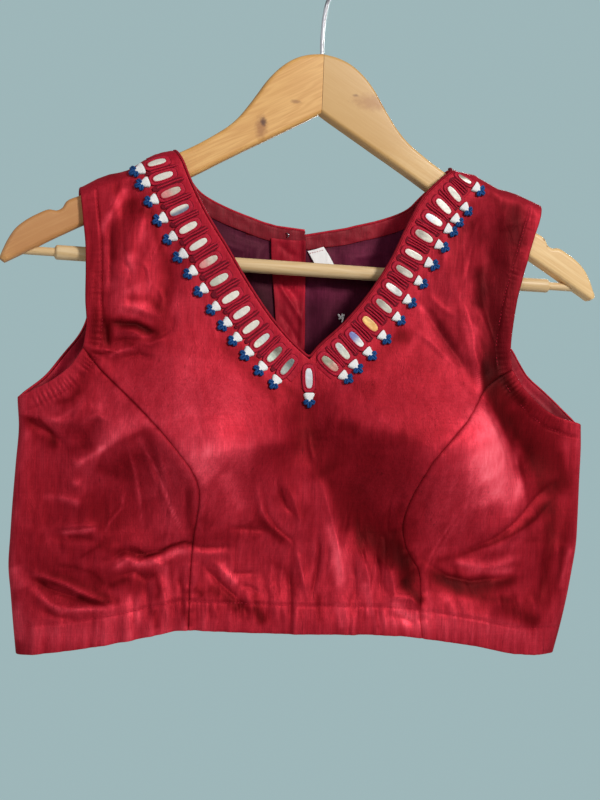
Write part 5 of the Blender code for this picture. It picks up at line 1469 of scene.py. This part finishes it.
CREST_TURN = 10.9 * (1.0 - np.cos(np.radians(np.linspace(0.0, 90.0, 9))))
SIDE_TURN = SIDE_RADIUS * (1.0 - np.cos(np.radians(np.linspace(0.0, 90.0, 8))))
# heights at which the foot of the princess and the side seams is looked for
PRINCESS_FOOT = -503.0
SIDE_FOOT = -521.0


def spread(turn, total, cell):
    """Steps that begin with those of a turn of the cloth and go on evenly."""
    rest = np.linspace(turn[-1], total, max(2, round((total - turn[-1]) / cell)) + 1)[1:]
    return np.concatenate([turn, rest])


def side_shares(width, cell):
    """Columns as shares of a panel's width, close together at the side seam, which is at 1."""
    return 1.0 - spread(SIDE_TURN, width, cell)[::-1] / width


def panel(inner, outer, us, vs, top=None):
    """Grid of (x, z) between two edges that run down, from the shoulder line or a given top edge to the hem."""
    ends = []
    for end, height in ((0, crest), (-1, hem)):
        x = inner[end, 0] + (outer[end, 0] - inner[end, 0]) * us
        ends.append(np.stack([x, height(x)], axis=1))
    top = ends[0] if top is None else top
    bottom = ends[1]
    top[0], top[-1], bottom[0], bottom[-1] = inner[0], outer[0], inner[-1], outer[-1]
    u = us[None, :, None]
    v = vs[:, None, None]
    corners = (1 - v) * ((1 - u) * top[0] + u * top[-1]) + v * ((1 - u) * bottom[0] + u * bottom[-1])
    return (1 - v) * top[None] + v * bottom[None] + (1 - u) * inner[:, None] + u * outer[:, None] - corners


def front_half(side):
    """Half of the front centre, between the neck, the middle, the armhole and the princess seam."""
    tops = [meet(table, side) for table in (NECKLINE, ARMHOLE)]
    total = sum(tops) / 2 - V_Z
    steps = spread(CREST_TURN, total, CELL)
    share = steps / total
    inner, outer = [], []
    for table, high, found in ((NECKLINE, tops[0], inner), (ARMHOLE, tops[1], outer)):
        z = high - steps * np.interp(share, [0, CREST_TURN[-1] / total, 1], [1, 1, (high - V_Z) / total])
        found.append(edge(table, np.append(z[:-1], V_Z), side))
    below = np.linspace(0.0, 1.0, round(200 / CELL) + 1)[1:]
    seam_low = hem(across(PRINCESS, PRINCESS_FOOT, side))
    inner.append(np.stack([np.full(len(below), V_X), V_Z + (hem(V_X) - V_Z) * below], axis=1))
    outer.append(edge(PRINCESS, V_Z + (seam_low - V_Z) * below, side, -SEAM_HALF))
    us = np.linspace(0.0, 1.0, round(150 / CELL) + 1)
    return panel(np.concatenate(inner), np.concatenate(outer), us, np.concatenate([0.5 * share, 0.5 + 0.5 * below]))


def front_side(side):
    """Side panel of the front, between the princess seam and the side seam."""
    scye = np.array(SCYE[True, side])
    scye[0] += (side * SEAM_HALF, 0.0)
    seam_low = hem(across(PRINCESS, PRINCESS_FOOT, side))
    side_low = hem(across(SIDE, SIDE_FOOT, side))
    vs = np.linspace(0.0, 1.0, round(195 / CELL) + 1)
    inner = edge(PRINCESS, V_Z + (seam_low - V_Z) * vs, side, SEAM_HALF)
    inner[0] = scye[0]
    outer = edge(SIDE, scye[-1, 1] + (side_low - scye[-1, 1]) * vs, side)
    us = side_shares(118.0, CELL)
    length = lengths(scye)
    return panel(inner, outer, us, vs, hermite(length, scye, length[-1] * us))


def back_half(side, cell):
    """Grid of one half of the back."""
    centre = CENTRE_X + side * SEAM_HALF
    neck_top, arm_top = meet(BACK_NECKLINE, side), meet(ARMHOLE, side)
    neck_low = BACK_NECKLINE[-1][0]
    total = neck_top - neck_low
    steps = spread(CREST_TURN, total, cell)
    z = neck_top - steps
    x = across(BACK_NECKLINE, z, side)
    x = np.where((x - centre) * side > 0, x, centre)
    x[-1] = centre
    inner = np.stack([x, z], axis=1)
    # outer edge: armhole beside the neck rows, the rest of it, its turn round the side, then the side seam
    scye = resampled(SCYE[False, side], 60)
    turn = CREST_TURN[-1]
    stretch = (arm_top - scye[0, 1] - turn) / (total - turn)
    upper = edge(ARMHOLE, arm_top - np.where(steps <= turn, steps, turn + (steps - turn) * stretch), side)
    upper[-1] = scye[0]
    reach = np.abs(scye[:, 0])
    flat = resampled(scye[reach < reach[-1] - SIDE_TURN[-1]], max(6, round(70 / cell)))[1:]
    order = np.argsort(reach)
    x = scye[-1, 0] - side * SIDE_TURN[::-1]
    turning = np.stack([x, np.interp(np.abs(x), reach[order], scye[order, 1])], axis=1)
    z = np.linspace(scye[-1, 1], hem(across(SIDE, SIDE_FOOT, side)), round(176 / cell) + 1)[1:]
    lower = np.concatenate([flat, turning, edge(SIDE, z, side)])
    arc = lengths(np.concatenate([upper[-1:], lower]))[1:]
    z = neck_low + (hem(centre) - neck_low) * arc / arc[-1]
    inner = np.concatenate([inner, np.stack([np.full(len(z), centre), z], axis=1)])
    arc = lengths(inner)
    return panel(inner, np.concatenate([upper, lower]), side_shares(200.0, cell), arc / arc[-1])


x = np.linspace(-215.0, 225.0, 90)
hem_line = np.stack([x, hem(x)], axis=1)
FREE_EDGES = {front: [hem_line] + [ARMHOLES[front, side] for side in (-1, 1)] for front in (True, False)}
FREE_EDGES[False] += [NECKS[False, side] for side in (-1, 1)]


def band(line, inward, near, far, cell, gap=0.0):
    """Grid of a band beside a line, from near to far away from it, carried up to the shoulder line."""
    line = resampled(line, max(8, round(lengths(line)[-1] / cell)))
    way, left = directions(line)
    line = np.concatenate([line[0] - way[0] * np.linspace(16.0, 0.0, 9)[:-1, None], line])
    left = np.concatenate([np.repeat(left[:1], 8, axis=0), left])
    across_it = np.linspace(near, far, max(3, round((far - near) / cell) + 1))
    grid = line[:, None] + inward * left[:, None] * across_it[None, :, None]
    grid[..., 1] = np.minimum(grid[..., 1], crest(grid[..., 0]) - gap)
    return grid


def stopped(grid, side, limit):
    """Brings the points of a band that pass a line in the middle back to it."""
    grid[..., 0] = (np.maximum if side > 0 else np.minimum)(grid[..., 0], limit)
    return grid


def plain_panel(name, grids, front, node):
    shell(name, grids, front, 0.0, CLOTH, SILK, "silk", [node], free=FREE_EDGES[front])


plain_panel("front", [front_half(-1), front_half(1)], True, "front_centre")
for side, name in NAMES.items():
    plain_panel("front_" + name, [front_side(side)], True, "front_side_" + name)
    plain_panel("rear_" + name, [back_half(side, BACK_CELL)], False, "back_" + name)

# --- Blouse: inside layers ----------------------------------------------------------------------------------

FACING_LIFT = -1.9
FACING_THICK = 0.6
# distance of a facing from the edge that it finishes
EDGE_ROOM = 1.3
# how far the lining reaches under the facings and the placket
LINING_LAP = 4.0


def lean(z):
    """How far the placket hangs to the right of the opening, lower down."""
    return 8.0 * smooth((-205.0 - z) / 110.0)


def lining_wrinkle(x, z):
    """Loose satin that sags inwards in long, soft folds."""
    q = lining_noise(x / 13.0 + z / 60.0, z / 46.0 + x / 90.0)
    r = lining_fine(x / 5.0 - z / 34.0, z / 23.0)
    from_neck, from_arms = (nearest([lines[False, side] for side in (-1, 1)], x, z) for lines in (NECKS, ARMHOLES))
    free = np.minimum(smooth((from_neck - NECK_FACING_WIDTH) / 14.0), smooth((from_arms - FACING_WIDTH) / 12.0))
    strip = CENTRE_X - PLACKET_WIDTH / 2 + lean(z)
    free = np.minimum(free, 1.0 - ridge(np.maximum(np.abs(x - strip) - PLACKET_WIDTH / 2 - 2.0, 0.0), 7.0))
    return -(1.3 + 1.3 * q + 0.5 * r) * free


def facing_wrinkle(x, z):
    return 0.30 * fine_noise(x / 5.0 + 9.0, z / 5.0) + 0.22 * fine_noise(x / 2.3, z / 2.3 + 30.0) - 0.35


def facing(name, grid, front, node):
    """A narrow strip of silk stitched flat on the inside."""
    shell(name, [grid], front, FACING_LIFT, FACING_THICK, SHADED_SILK_INSIDE, "silk", [node], wrinkle=facing_wrinkle)


for side, name in NAMES.items():
    for where, front in (("back", False), ("front", True)):
        grid = band(scye_line(side, front, 120), -side, EDGE_ROOM, FACING_WIDTH, 2.0)
        x, z = grid[..., 0], grid[..., 1]
        within = np.clip(x, across(SIDE, z, -1) + 1.0, across(SIDE, z, 1) - 1.0)
        grid[..., 0] = np.where(z < -330.0, within, x)
        facing(f"arm_facing_{where}_{name}", grid, front, f"armhole_facing_{where}_{name}")
    grid = back_half(side, LINING_CELL)
    x, z = grid[..., 0], grid[..., 1]
    keep = near_line(scye_line(side, False, 120), x, z)[0] > FACING_WIDTH - LINING_LAP
    keep &= near_line(neck_line(BACK_NECKLINE, side, 90), x, z)[0] > NECK_FACING_WIDTH - LINING_LAP
    keep &= z > hem(x) + HEM_WIDTH - LINING_LAP
    if side < 0:
        keep &= x < CENTRE_X - PLACKET_WIDTH + 5.0 + lean(z)
    node = "lining_back_" + name
    shell("lining_" + name, [grid], False, -1.6, 0.45, LINING, "lining", [node], wrinkle=lining_wrinkle, keep=keep)

for side, name in NAMES.items():
    line = neck_line(BACK_NECKLINE, side, 120)
    if side < 0:
        line = np.concatenate([line, line[-1:] + 0.5 * (line[-1:] - line[-2:-1])])
    grid = stopped(band(line, side, EDGE_ROOM, NECK_FACING_WIDTH, 1.6), side, CENTRE_X + side * 0.3)
    facing("neck_band_" + name, grid, False, "neck_facing_" + name)


def placket_wrinkle(x, z):
    """Folds of the placket, and its stitched free edge."""
    x = x - lean(z)
    curl = -0.9 * ridge(x - CENTRE_X + PLACKET_WIDTH, 1.6) * (0.5 + 0.5 * fine_noise(z / 16.0, z * 0 + 1.0))
    curl = curl - 1.0 * ridge(CENTRE_X - 1.4 - x, 1.2)
    return fold_sum(PLACKET_FOLDS, x, z) - 0.6 + curl + 0.25 * fine_noise(x / 3.0, z / 6.0)


def placket_lift(x, z):
    """The strip lies over the lower edge of the neck facing."""
    return -2.0 - 0.75 * smooth((z + 240.0) / 12.0)


us = np.linspace(0.0, 1.0, 22)
vs = np.linspace(0.0, 1.0, 190)[:, None]
x = CENTRE_X - PLACKET_WIDTH + (PLACKET_WIDTH - 0.4) * us
line = neck_line(BACK_NECKLINE, -1, 120)
top = np.interp(x, *line.T) * 0.5 + 0.5 * line[-1, 1] - 8.4
z = top + (hem(x) + HEM_WIDTH + 0.4 - top) * vs
grid = np.stack([x + lean(z) * (1.0 - 0.55 * us), z], axis=-1)
shell("placket_strip", [grid], False, placket_lift, 0.7, PIPING, "silk", ["placket"], wrinkle=placket_wrinkle)

us = np.linspace(0.0, 1.0, 230)
for name, front, start, end, node in (
    ("hem_front_band", True, None, None, "hem_front"),
    ("hem_rear_left", False, None, CENTRE_X - SEAM_HALF, "hem_back_left"),
    ("hem_rear_right", False, CENTRE_X + SEAM_HALF, None, "hem_back_right"),
):
    rows = []
    for rise in np.linspace(EDGE_ROOM, HEM_WIDTH, 10):
        ends = []
        for side, given in ((-1, start), (1, end)):
            if given is None:
                # where the row meets the side seam, found by trial
                given = side * 205.0
                for _ in range(6):
                    given = float(across(SIDE, hem(given) + rise, side))
                given -= side * 1.0
            ends.append(given)
        x = ends[0] + (ends[1] - ends[0]) * us
        rows.append(np.stack([x, hem(x) + rise], axis=1))
    facing(name, np.array(rows), front, node)

# Size label, at its corners: x, z
LABEL = np.array((((-1.6, -226.4), (10.6, -222.8)), ((7.4, -243.0), (20.6, -239.4))))


def label_lift(x, z):
    """The label is sewn at its top and stands off a little further down."""
    way = np.clip((-224.6 - z + (x - 4.5) * 0.29) / 17.0, 0.0, 1.0)
    return -2.9 - 1.5 * smooth(way) - 0.25 * np.cos((x + z * 0.5) / 2.6) * way


u, v = np.meshgrid(np.linspace(0, 1, 16), np.linspace(0, 1, 24))
u, v = u[..., None], v[..., None]
grid = (1 - v) * ((1 - u) * LABEL[0, 0] + u * LABEL[0, 1]) + v * ((1 - u) * LABEL[1, 0] + u * LABEL[1, 1])
shell("label", [grid], False, label_lift, 0.35, LABEL_CLOTH, "label", ["size_label"], rim=0.1)

# --- Blouse: piping -----------------------------------------------------------------------------------------

parts = []
for side in (-1, 1):
    line = neck_line(NECKLINE, side, 260)
    line = line - directions(line)[1] * side * (PIPING_RADIUS + 0.1)
    line[0, 1] = crest(line[0, 0]) - 0.05
    line = line[(crest(line[:, 0]) - line[:, 1] > 0.4) | (np.arange(260) == 0)][:-3]
    parts.append(line if side < 0 else line[::-1])
line = resampled(np.concatenate([parts[0], [[V_X, V_Z + 1.6]], parts[1]]), 560)
# the two sides meet in a small round bend
for _ in range(10):
    line[1:-1] += 0.5 * ridge(line[1:-1, :1] - V_X, 7.0) * (line[2:] + line[:-2] - 2 * line[1:-1])
path, away = skin(*line.T, True, -0.15)
points, faces = tube(path, PIPING_RADIUS, 16, away)
# painted shade: the right half of the piping is darker
shade = np.where(points[:, :1] > V_X, 0.72, 1.0) * np.ones((1, 3))
make("piping", points, faces, PIPING, "silk", ["neck_piping"], shade)

# --- Mirror work --------------------------------------------------------------------------------------------

CELL_HALF = 5.8
CELL_TOP = -311.6
CELL_LOW = -334.0

# Mirrors of each side: how far down the neckline from the shoulder, distance from it, half length, half width,
# and which of the painted reflections it has
MIRRORS = {
    -1: (
        (8.3, 17, 6.5, 1.7, 0), (18, 16.4, 7.2, 2.3, 1), (29.3, 15.6, 7.3, 2.6, 2), (42.2, 15.4, 7.2, 2.6, 3),
        (54.9, 15.8, 7, 2.5, 0), (68, 16, 7.1, 2.4, 1), (82.5, 16.3, 7.4, 2.6, 2), (97.3, 16.2, 7.3, 2.7, 4),
        (111.4, 15.6, 7, 2.6, 0), (124.5, 15, 7, 2.6, 1), (135.9, 15.4, 7.1, 2.5, 0), (147.3, 15.4, 7.1, 2.5, 5),
        (159.8, 15, 7.2, 2.6, 6), (171.2, 14.9, 7.1, 2.5, 7),
    ),
    1: (
        (5.4, 11, 6, 1.5, 8), (18.2, 13.6, 6.9, 2.3, 0), (32, 14.6, 7.2, 2.6, 0), (48.2, 14.2, 7.2, 2.7, 9),
        (63, 13, 7.4, 2.9, 8), (79.5, 12, 7.2, 2.4, 0), (93, 11.6, 7.2, 2.5, 8), (108, 11.9, 7.1, 2.6, 10),
        (121.7, 12.8, 7.1, 2.6, 8), (137.8, 13.1, 7, 3, 11), (152.5, 13.4, 6.9, 2.6, 12), (165.2, 13, 7.2, 2.7, 5),
        (180.5, 13.2, 7.4, 2.9, 13),
    ),
}
# Painted reflections in the mirrors: colour of the inner end, of the outer end, then how they are split:
# 0 along the mirror, 1 across it
CREAM_REFLECTION = (0.79, 0.76, 0.66)
PAINTED_REFLECTIONS = (
    (CREAM_REFLECTION, CREAM_REFLECTION, 0),
    ((0.82, 0.77, 0.68), (0.76, 0.74, 0.66), 0),
    ((0.62, 0.52, 0.42), (0.7, 0.24, 0.22), 0),
    ((0.8, 0.76, 0.66), (0.16, 0.19, 0.27), 1),
    ((0.66, 0.66, 0.56), (0.5, 0.5, 0.4), 0),
    ((0.56, 0.6, 0.56), (0.62, 0.63, 0.52), 0),
    ((0.13, 0.12, 0.08), (0.44, 0.52, 0.42), 0),
    ((0.1, 0.14, 0.13), (0.3, 0.34, 0.3), 0),
    ((0.34, 0.3, 0.24), (0.62, 0.58, 0.48), 0),
    ((0.56, 0.62, 0.68), (0.76, 0.74, 0.66), 0),
    ((0.74, 0.72, 0.68), (0.46, 0.46, 0.44), 0),
    ((0.86, 0.52, 0.13), (0.8, 0.42, 0.1), 0),
    ((0.16, 0.18, 0.46), (0.76, 0.75, 0.72), 0),
    ((0.24, 0.24, 0.15), (0.48, 0.22, 0.16), 0),
    ((0.72, 0.74, 0.78), (0.62, 0.62, 0.64), 0),
)
# Pieces of thread and glass that the mirror work is made of
WORK = {
    "mirrors": MIRROR,
    "mirror_pads": RED_THREAD,
    "mirror_rims": RED_THREAD,
    "mirror_outlines": DARK_THREAD,
    "mirror_bars": RED_THREAD,
    "mirror_beds": DARK_THREAD,
    "white_points": WHITE_THREAD,
    "blue_knots": BLUE_THREAD,
}
work = {name: [] for name in WORK}
shake = np.random.RandomState(5)
UP = (0.0, 0.0, 1.0)


class Place:
    """A spot of the mirror work: its middle, the way away from the neckline and the way along it."""

    def __init__(self, middle, outwards, along):
        self.middle, self.outwards, self.along = (np.asarray(v, float) for v in (middle, outwards, along))

    def moved(self, out):
        return Place(self.middle + out * self.outwards, self.outwards, self.along)

    def towards(self, other, share):
        pairs = ((self.middle, other.middle), (self.outwards, other.outwards), (self.along, other.along))
        return Place(*(a * (1 - share) + b * share for a, b in pairs))

    def points(self, a, b, h):
        """Flat points and heights, from distances out and along."""
        a, b, h = np.broadcast_arrays(np.asarray(a, float), b, h)
        flat = self.middle + a[..., None] * self.outwards + b[..., None] * self.along
        return np.concatenate([flat, h[..., None]], axis=-1).reshape(-1, 3)

    def faces(self, quads):
        """Faces the right way round for this side of the neck."""
        kept = self.outwards[0] * self.along[1] - self.outwards[1] * self.along[0] > 0
        return quads if kept else [face[::-1] for face in quads]


def spots(side):
    """The place and measures of each mirror down one side."""
    line = neck_line(NECKLINE, side, 400)
    length = lengths(line)
    way, _ = directions(resampled(line, 60))
    found = []
    for along, distance, long, wide, tint in MIRRORS[side]:
        tangent = hermite(np.linspace(0, 1, 60), way, along / length[-1])
        tangent /= np.linalg.norm(tangent)
        normal = np.array([-tangent[1], tangent[0]]) * side
        place = Place(hermite(length, line, along) + normal * distance, normal, tangent)
        found.append((place, distance, long, wide, tint))
    return found


def capsule(count, long, wide, square=2.6):
    """Outline of a mirror: a long rounded lozenge."""
    angle = 2 * math.pi * np.arange(count) / count
    c, s = np.cos(angle), np.sin(angle)
    return long * np.sign(c) * np.abs(c) ** (2 / square), wide * np.sign(s) * np.abs(s) ** (2 / square * 0.92)


def domed(place, rings):
    """Points and faces of rings of points, the outermost first, the last one filled."""
    count = len(rings[0])
    faces = woven(len(rings), count, True).tolist() + [list(range((len(rings) - 1) * count, len(rings) * count))]
    return np.concatenate(rings), place.faces(faces)


def mirror_mesh(place, long, wide, tint):
    """A flat mirror with a narrow bevel, sunk a little in its rim."""
    rings = []
    colours = []
    # share of the outline, height
    bevel = ((1.0, 0.9), (1.0, 1.50), (0.985, 1.58), (0.94, 1.60), (0.6, 1.60), (0.3, 1.60), (0.06, 1.60))
    tilt = 0.10 * shake.uniform(-1.0, 1.0, 2)
    # painted reflection, blended from one colour to the other
    upper, lower, crosswise = PAINTED_REFLECTIONS[tint]
    for share, height in bevel:
        a, b = capsule(40, long - (1 - share) * wide, wide * share)
        rings.append(place.points(a, b, height + tilt[0] * a / long + tilt[1] * b / wide))
        mix = smooth(0.5 - 1.1 * (b / wide if crosswise else a / long) + tilt[0])[:, None]
        colours.append(np.array(upper) * mix + np.array(lower) * (1 - mix))
    return *domed(place, rings), np.concatenate(colours)


def pad_mesh(place, long, wide, height):
    """The raised, satin-stitched cushion that holds a mirror."""
    rings = []
    # share of the outline, share of the height
    cushion = (
        (1.0, 0.0), (0.995, 0.45), (0.97, 0.78), (0.90, 0.98), (0.78, 1.0), (0.5, 0.96), (0.2, 0.94), (0.05, 0.94),
    )
    for share, rise in cushion:
        a, b = capsule(60, long - (1 - share) * wide, wide * share, 3.4)
        strand = 0.05 * (np.cos(b * 7.0) + np.cos(a * 6.0)) * (share > 0.6) * (rise > 0.3)
        rings.append(place.points(a, b, 0.35 + rise * (height - 0.35) + strand))
    return domed(place, rings)


def rope(points, radius, twist):
    """A short thread through points of (x, z, height), its ends drawn in."""
    step = 0.32
    count = max(6, int(lengths(points)[-1] / step))
    share = np.linspace(0.0, 1.0, count)
    ends = np.clip(np.minimum(share, 1 - share) * count * step / radius * 0.9 + 0.25, 0.25, 1.0) ** 0.6
    return tube(resampled(points, count), radius * ends, 9, UP, twist)


def ring_rope(place, long, wide, height, radius, turn):
    """A twisted thread laid round a mirror."""
    a, b = (np.append(v, v[0]) for v in capsule(72, long, wide))
    return tube(place.points(a, b, height), radius, 9, UP, (turn, 0.30), ends=False)


def triangle_mesh(place, reach, half):
    """A padded satin triangle pointing away from the mirror."""
    u, v = np.meshgrid(np.linspace(-1, 1, 25), np.linspace(0, 1, 17))
    width = half * (1 - 0.70 * v**1.15) * np.sqrt(np.clip(1 - np.clip((v - 0.80) / 0.20, 0, 1) ** 2, 0.0, 1.0))
    width = width * (0.86 + 0.14 * np.sqrt(np.clip(v / 0.16, 0.0, 1.0)))
    rounded = np.sqrt(np.clip(1 - u**4, 0, 1)) * np.sqrt(np.clip(1 - ((v - 0.42) / 0.60) ** 4, 0, 1))
    h = 0.3 + (1.95 + 0.10 * np.cos(u * 30.0)) * rounded
    points = place.points(reach * v + 0.5 * u**4 * (1 - v), width * u, h)
    return points, place.faces(woven(17, 25)[:, [0, 3, 2, 1]].tolist())


def knot_loops(place, reach):
    """Three short twisted loops that spread from one point."""
    made = []
    for turn, long, bend in ((-68, 0.95, -0.5), (-2, 1.05, 0.1), (64, 0.95, 0.5)):
        c, s = cos_sin(turn)
        for part in (-1, 1):
            along = np.array([0.0, 0.35, 0.75, 1.0]) * reach * long
            aside = part * np.array([0.25, 0.85, 0.80, 0.22]) + bend * np.array([0.0, 0.3, 0.6, 0.5])
            line = place.points(along * c - aside * s, along * s + aside * c, [0.9, 1.75, 1.65, 0.7])
            made.append(rope(line, 1.02, (1.5, 0.30)))
    return made


def mirror_cell(place, long, wide, tint):
    """A mirror with its cushion, rim, white point and blue knot."""
    work["mirrors"].append(mirror_mesh(place, long, wide, tint))
    work["mirror_pads"].append(pad_mesh(place, long + 3.1, wide + 2.1, 1.35))
    work["mirror_rims"].append(ring_rope(place, long + 0.42, wide + 0.42, 1.52, 0.50, 1.3))
    work["mirror_outlines"].append(ring_rope(place, long + 3.3, wide + 2.35, 0.55, 0.40, 1.6))
    apex = long + 3.1
    reach, half = 7.3 + shake.uniform(-0.5, 0.5), 4.5 + shake.uniform(-0.3, 0.3)
    work["white_points"].append(triangle_mesh(place.moved(apex), reach, half))
    work["blue_knots"] += knot_loops(place.moved(apex + 5.9), 4.4 + shake.uniform(-0.3, 0.3))


for side in (-1, 1):
    found = spots(side)
    for (place, distance, long, wide, tint), following in zip(found, found[1:] + [None]):
        mirror_cell(place, long, wide, tint)
        if following is None:
            continue
        # rows of stitches between this mirror and the next
        other = following[0]
        gap = np.linalg.norm(other.middle - place.middle)
        room = gap - wide - following[3] - 4.2
        bed = place.towards(other, 0.5)
        bed.middle -= 0.8 * place.outwards
        work["mirror_beds"].append(pad_mesh(bed, (distance + long) / 2, max(room / 2 + 0.5, 0.7), 0.85))
        count = max(1, round(room / 2.2))
        for k in range(count):
            share = 0.5 + ((k - (count - 1) / 2) * 1.95 + shake.uniform(-0.25, 0.25)) / gap
            jitter = shake.uniform(-1.0, 1.0, 4)
            line = place.towards(other, share).points(
                [-distance + 3.0 + jitter[0], -4.0, 2.5, long + 1.0 + jitter[1]],
                [jitter[2] * 0.4, 0.35 * jitter[1], -0.35 * jitter[0], jitter[3] * 0.4],
                [0.7, 1.3 + 0.2 * jitter[2], 1.3 + 0.2 * jitter[3], 0.7],
            )
            work["mirror_bars"].append(rope(line, 0.78, (2.4, 0.5)))

centre = Place((V_X - 0.4, (CELL_TOP + CELL_LOW) / 2), (0.06, -0.998), (0.998, 0.06))
mirror_cell(centre, 7.2, 2.7, 14)

nodes = [f"mirror_{NAMES[side]}_{k:02d}" for side in (-1, 1) for k in range(1, len(MIRRORS[side]) + 1)]
lay("mirrors", work.pop("mirrors"), True, MIRROR, "mirror", nodes + ["mirror_middle"])
for name, parts in work.items():
    lay(name, parts, True, WORK[name], "embroidery")


def rough_stitch(x, z):
    return 0.15 * fine_noise(x / 1.6, z / 1.6)


def worked(where, grid):
    """A piece of the stitched ground under the mirrors."""
    node = "border_" + where
    shell("work_" + where, [grid], True, 0.45, 0.4, PIPING, "embroidery", [node], wrinkle=rough_stitch)


for side, name in NAMES.items():
    grid = band(neck_line(NECKLINE, side, 160), side, 0.9, 21.0, 1.1, 0.3)
    worked(name, stopped(grid, side, V_X + side * 5.6))
x, z = np.meshgrid(np.linspace(-CELL_HALF + 0.3, CELL_HALF - 0.3, 14), np.linspace(CELL_TOP, CELL_LOW + 4.0, 22))
worked("middle", np.stack([V_X + x, z], axis=-1))

# --- Stitches -----------------------------------------------------------------------------------------------


def stitch_row(line, pitch, long):
    """A row of short stitches along a flat line."""
    radius = 0.22
    length = lengths(line)
    girth = radius * np.array([0.5, 0.9, 1.0, 0.9, 0.5])
    high = 0.05 + radius * np.array([-1.2, 0.2, 0.5, 0.2, -1.2])
    parts = []
    for start in np.arange(pitch / 2, length[-1] - pitch, pitch):
        s = start + long * np.linspace(0, 1, 5)
        path = np.stack([np.interp(s, length, line[:, 0]), np.interp(s, length, line[:, 1]), high], axis=1)
        parts.append(tube(path, girth, 6, UP))
    return parts


for where, front in (("front", True), ("rear", False)):
    parts = []
    for side in (-1, 1):
        line = scye_line(side, front, 160)
        line = line - directions(line)[1] * side * FACING_WIDTH
        line = line[(crest(line[:, 0]) - line[:, 1] > 1.0) & (np.abs(line[:, 0]) < 205.0)]
        parts += stitch_row(line, 2.5, 1.8)
    x = np.linspace(-200.0, 200.0, 200)
    parts += stitch_row(np.stack([x, hem(x) + HEM_WIDTH], axis=1), 2.7, 1.9)
    lay("stitches_" + where, parts, front, RED_THREAD, "silk")


def short_threads(lines, radius, look, name, slot, sides=8):
    """Loose short threads on the inside of the back, given as points of x, z and height."""
    girth = radius * np.array([0.5] + [1.0] * 10 + [0.5])
    lay(name, [tube(resampled(line, 12), girth, sides, UP) for line in lines], False, look, slot, moved=0.0)


rows = []
for k in range(6):
    u = np.array([[0.06], [0.10], [0.14]]) + 0.15 * k
    x, z = (LABEL[0, 0] + u * (LABEL[0, 1] - LABEL[0, 0]) + (0.9, -2.3)).T
    rows.append(np.stack([x, z, label_lift(x, z) - (0.35, 0.5, 0.35)], axis=1))
short_threads(rows, 0.24, RED_THREAD, "label_stitches", "label", 6)
tack = (
    ((23.5, -273.0, -4.6), (25.0, -275.5, -5.4), (27.5, -276.5, -5.0)),
    ((24.2, -277.0, -4.6), (26.0, -274.6, -5.6), (28.4, -273.2, -5.0)),
    ((26.5, -272.6, -4.8), (27.0, -276.0, -5.8), (26.4, -279.2, -5.2)),
)
short_threads(tack, 0.75, WHITE_THREAD, "lining_tack", "lining")
neck_hook = ((-18.6, -215.2, -3.0), (-17.4, -216.0, -4.0), (-16.6, -217.6, -4.2), (-17.8, -218.4, -3.4))
short_threads([neck_hook], 0.42, CHROME, "neck_hook", "chrome")

# --- Floor, and the cloth as cut ----------------------------------------------------------------------------

FLOOR_Z = -1.25
FLOOR_RADIUS = 1.25

floor_mesh = bpy.data.meshes.new("floor")
angles = np.linspace(0, 2 * math.pi, 97)[:-1]
ring = [(FLOOR_RADIUS * math.cos(a), FLOOR_RADIUS * math.sin(a), FLOOR_Z) for a in angles]
floor_mesh.from_pydata(ring, [], [list(range(96))])
floor = placed("floor", floor_mesh)
floor_look = Nodes("floor", Roughness=0.85)
cloudy = floor_look.noise(floor_look.place(), 3.0, 3.0, 0.5)
floor_mesh.materials.append(floor_look.finish(floor_look.mix(cloudy, (0.62, 0.64, 0.65), (0.68, 0.70, 0.71))))

# Cloth: flat width and length in metres, cut area where it isn't a rectangle, pieces sewn on it
CUTS = (
    ("front", (0.355, 0.362), 0.0690, ["piping", "stitches_front", *WORK]),
    ("front_left", (0.132, 0.214), 0.0214, []),
    ("front_right", (0.161, 0.216), 0.0262, []),
    ("rear_left", (0.211, 0.365), 0.0605, ["stitches_rear"]),
    ("rear_right", (0.228, 0.372), 0.0655, []),
    ("lining_left", (0.181, 0.338), 0.0455, []),
    ("lining_right", (0.224, 0.345), 0.0565, []),
    ("placket_strip", (0.026, 0.276), None, []),
    ("label", (0.0135, 0.019), None, []),
    ("hem_front_band", (0.412, 0.0195), None, []),
    ("hem_rear_left", (0.201, 0.0195), None, []),
    ("hem_rear_right", (0.210, 0.0195), None, []),
    ("neck_band_left", (0.0115, 0.104), None, []),
    ("neck_band_right", (0.0115, 0.138), None, []),
    ("arm_facing_back_left", (0.010, 0.175), None, []),
    ("arm_facing_back_right", (0.010, 0.204), None, []),
    ("arm_facing_front_left", (0.010, 0.183), None, []),
    ("arm_facing_front_right", (0.010, 0.222), None, []),
    ("work_left", (0.0224, 0.198), None, []),
    ("work_right", (0.0224, 0.208), None, []),
    ("work_middle", (0.0116, 0.0224), None, []),
)
for name, flat, area, sewn in CUTS:
    sewn = [bpy.data.objects[s] for s in sewn]
